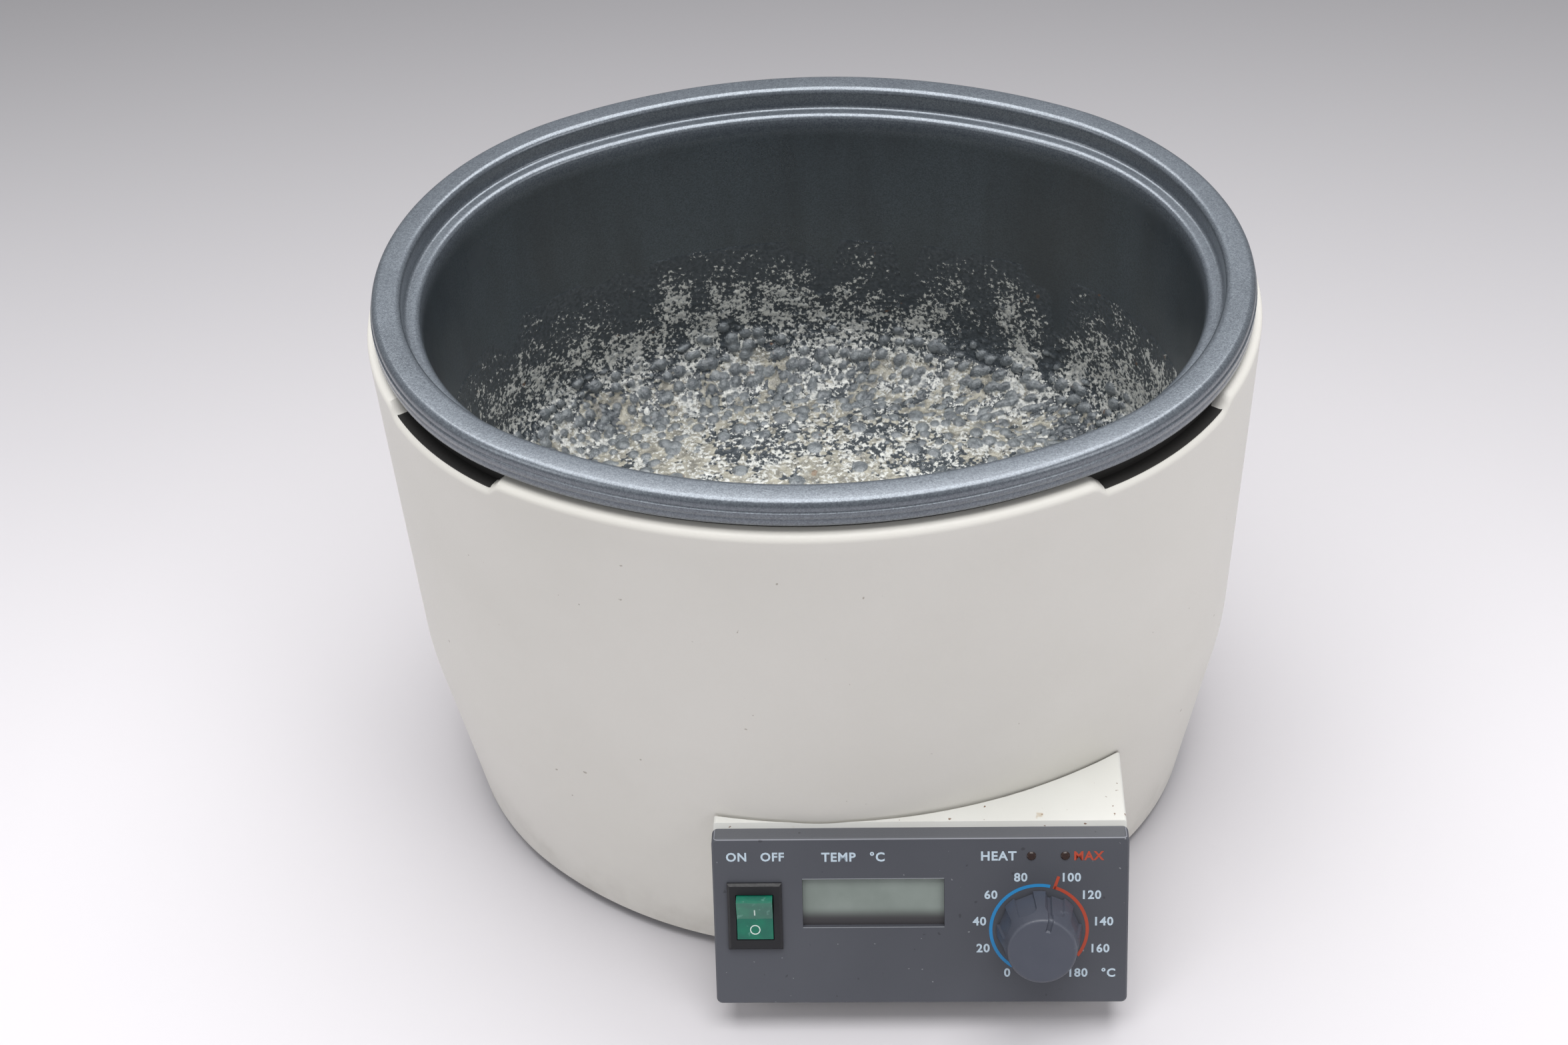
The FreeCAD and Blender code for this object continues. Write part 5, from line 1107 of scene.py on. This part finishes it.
NUMERALS = (("0", 61.8, 11.2), ("20", 53.8, 20.2), ("40", 52.6, 30.0), ("60", 56.4, 39.6), ("80", 66.2, 45.8),
            ("100", 83.0, 45.7), ("120", 89.7, 39.4), ("140", 93.8, 29.8), ("160", 92.7, 20.0),
            ("180", 85.5, 11.1))
for text, x, u in NUMERALS:
    lettering("numeral_" + text, text, x, u, 3.2, pale_ink)
lettering("word_celsius", "°C", 95.4, 11.1, 3.3, pale_ink)
lettering("word_on_off", "ON   OFF", -21.4, 53.6, 3.2, pale_ink)
lettering("word_temp", "TEMP   °C", 11.0, 53.5, 3.5, pale_ink)
lettering("word_heat", "HEAT", 59.0, 53.5, 3.3, pale_ink)
lettering("word_max", "MAX", 88.6, 53.4, 3.2, red_ink)

print(len(NUMERALS), "numbers and 5 words on the panel")

# %% [markdown]
# ## Arcs and bars
# The scale and the display's edges are thin plates too. An arc is two rows of points at two radii,
# joined by quads, and a bar is a rectangle along a line between two points.

# %% Dial arcs
ARC_RADIUS, ARC_WIDTH = 16.5, 1.1


def arc_plate(start, stop, steps):
    """Two rows of points round the knob between two turns in degrees, clockwise from the top."""
    turn = np.radians(np.linspace(start, stop, steps))
    rows = [np.column_stack([KNOB_X + r * np.sin(turn), KNOB_U + r * np.cos(turn)])
            for r in (ARC_RADIUS - ARC_WIDTH, ARC_RADIUS)]
    faces = [(i, i + 1, i + 1 + steps, i + steps) for i in range(steps - 1)]
    return flat_solid(np.vstack(rows), faces)


def tick_plate(start, stop, width):
    """A straight bar between two points of the panel."""
    start, stop = np.array(start), np.array(stop)
    along = (stop - start) / np.linalg.norm(stop - start)
    side = np.array([-along[1], along[0]]) * width / 2
    return flat_solid(np.array([start - side, stop - side, stop + side, start + side]), [(0, 1, 2, 3)])


print("the scale is", ARC_WIDTH, "mm wide")

# %% [markdown]
# The rocker is marked with a bar and a ring. Its upper face rises 22 degrees out of the panel's
# plane from the crease, and its lower face is level with the panel, so each mark is lifted by that.

# %% Rocker marks
ROCKER_X, ROCKER_CREASE_U, ROCKER_CREASE_N = -21.9, 32.2, 1.89
ROCKER_RISE = math.tan(math.radians(22))


def ring_plate(x, u, radius, width, steps=48):
    """A closed flat ring."""
    turn = np.linspace(0, 2 * math.pi, steps, endpoint=False)
    rows = [np.column_stack([x + r * np.sin(turn), u + r * np.cos(turn)]) for r in (radius - width, radius)]
    faces = [(i, (i + 1) % steps, (i + 1) % steps + steps, i + steps) for i in range(steps)]
    return flat_solid(np.vstack(rows), faces)


def on_rocker(points):
    """Lift panel points by the face of the rocker below them: level, then rising with the tangent."""
    lifted = points.copy()
    lifted[:, 2] += ROCKER_CREASE_N + np.maximum(points[:, 1] - ROCKER_CREASE_U, 0) * ROCKER_RISE
    return on_panel(lifted)


for name, (points, faces) in (("mark_bar", tick_plate((ROCKER_X, 33.7), (ROCKER_X, 36.1), 0.42)),
                              ("mark_ring", ring_plate(ROCKER_X, 28.2, 1.75, 0.36))):
    piece(name, mesh_from(name, on_rocker(points), faces), white_ink, body="switch_rocker")

# %% [markdown]
# The cool arc runs from 0 to 100 and the hot one on from there, with a tick between. Two hair lines
# are the light caught by the long edges of the display's opening.

# %% Arcs, tick and edge lines
for name, (points, faces), material in (("arc_cool", arc_plate(-147, 13, 90), blue_ink),
                                        ("arc_hot", arc_plate(18, 127, 70), red_ink),
                                        ("tick_hot", tick_plate((77.2, 41.5), (78.7, 46.0), 1.0), red_ink),
                                        ("line_top", tick_plate((-6.0, 45.6), (41.0, 45.6), 0.22), edge_highlight_ink),
                                        ("line_foot", tick_plate((-6.0, 28.0), (41.0, 28.0), 0.22), edge_highlight_ink)):
    piece(name, mesh_from(name, on_panel(points), faces), material)

# %% [markdown]
# ## The floor
# The table is one large pale sheet that runs from grey behind to nearly white in front.

# %% Floor
def floor_paper():
    """Pale in front, greyer with the distance behind the bath."""
    material, tree, shader = new_material("floor_paper")
    place = add(tree, "TexCoord").outputs["Object"]
    depth = add(tree, "SeparateXYZ", Vector=place).outputs[1]
    base = mix(tree, step(tree, depth, -0.22, 0.75), srgb(211, 208, 211), srgb(114, 113, 115))
    link(tree, shader, Base_Color=base, Roughness=0.85)
    bump(tree, shader, noise(tree, 500.0, 2.0), 0.00002)
    return material


FLOOR_REACH = 4000.0
side = np.linspace(-FLOOR_REACH, FLOOR_REACH, 5)
floor_grid = np.stack(np.meshgrid(side, side, [0.0]), -1)
flat_index = np.arange(25).reshape(5, 5)
floor_faces = np.stack([flat_index[:-1, :-1], flat_index[:-1, 1:], flat_index[1:, 1:], flat_index[1:, :-1]],
                       -1).reshape(-1, 4).tolist()
floor = bpy.data.objects.new("floor", bpy.data.meshes.new("floor"))
floor.data.from_pydata((floor_grid.reshape(-1, 3) * MM).tolist(), [], floor_faces)
floor.data.materials.append(floor_paper())
bpy.context.scene.collection.objects.link(floor)


# %% [markdown]
# ## The light
# Soft boxes stand above and at both sides. Their power is low enough that a colour renders about
# as it is written, and a faint even world fills the shadows.

# %% Light
def soft_box(name, place, target, width, power):
    """A square area light that faces a point."""
    data = bpy.data.lights.new(name, "AREA")
    data.size, data.energy = width, power
    lamp = bpy.data.objects.new(name, data)
    aim = mathutils.Vector(target) - mathutils.Vector(place)
    lamp.matrix_world = mathutils.Matrix.Translation(place) @ aim.to_track_quat("-Z", "Y").to_matrix().to_4x4()
    bpy.context.scene.collection.objects.link(lamp)


soft_box("soft_box_top", (0.0, 0.22, 1.4), (0.0, 0.05, 0.1), 1.5, 34.0)
soft_box("soft_box_left", (-1.1, -0.75, 0.9), (0.0, 0.0, 0.1), 0.7, 2.8)
soft_box("soft_box_right", (1.1, -0.8, 0.8), (0.0, 0.0, 0.06), 0.7, 3.4)
world = bpy.data.worlds.new("studio")
world.use_nodes = True
world.node_tree.nodes["Background"].inputs["Color"].default_value = (0.93, 0.95, 1.0, 1.0)
world.node_tree.nodes["Background"].inputs["Strength"].default_value = 0.3
bpy.context.scene.world = world
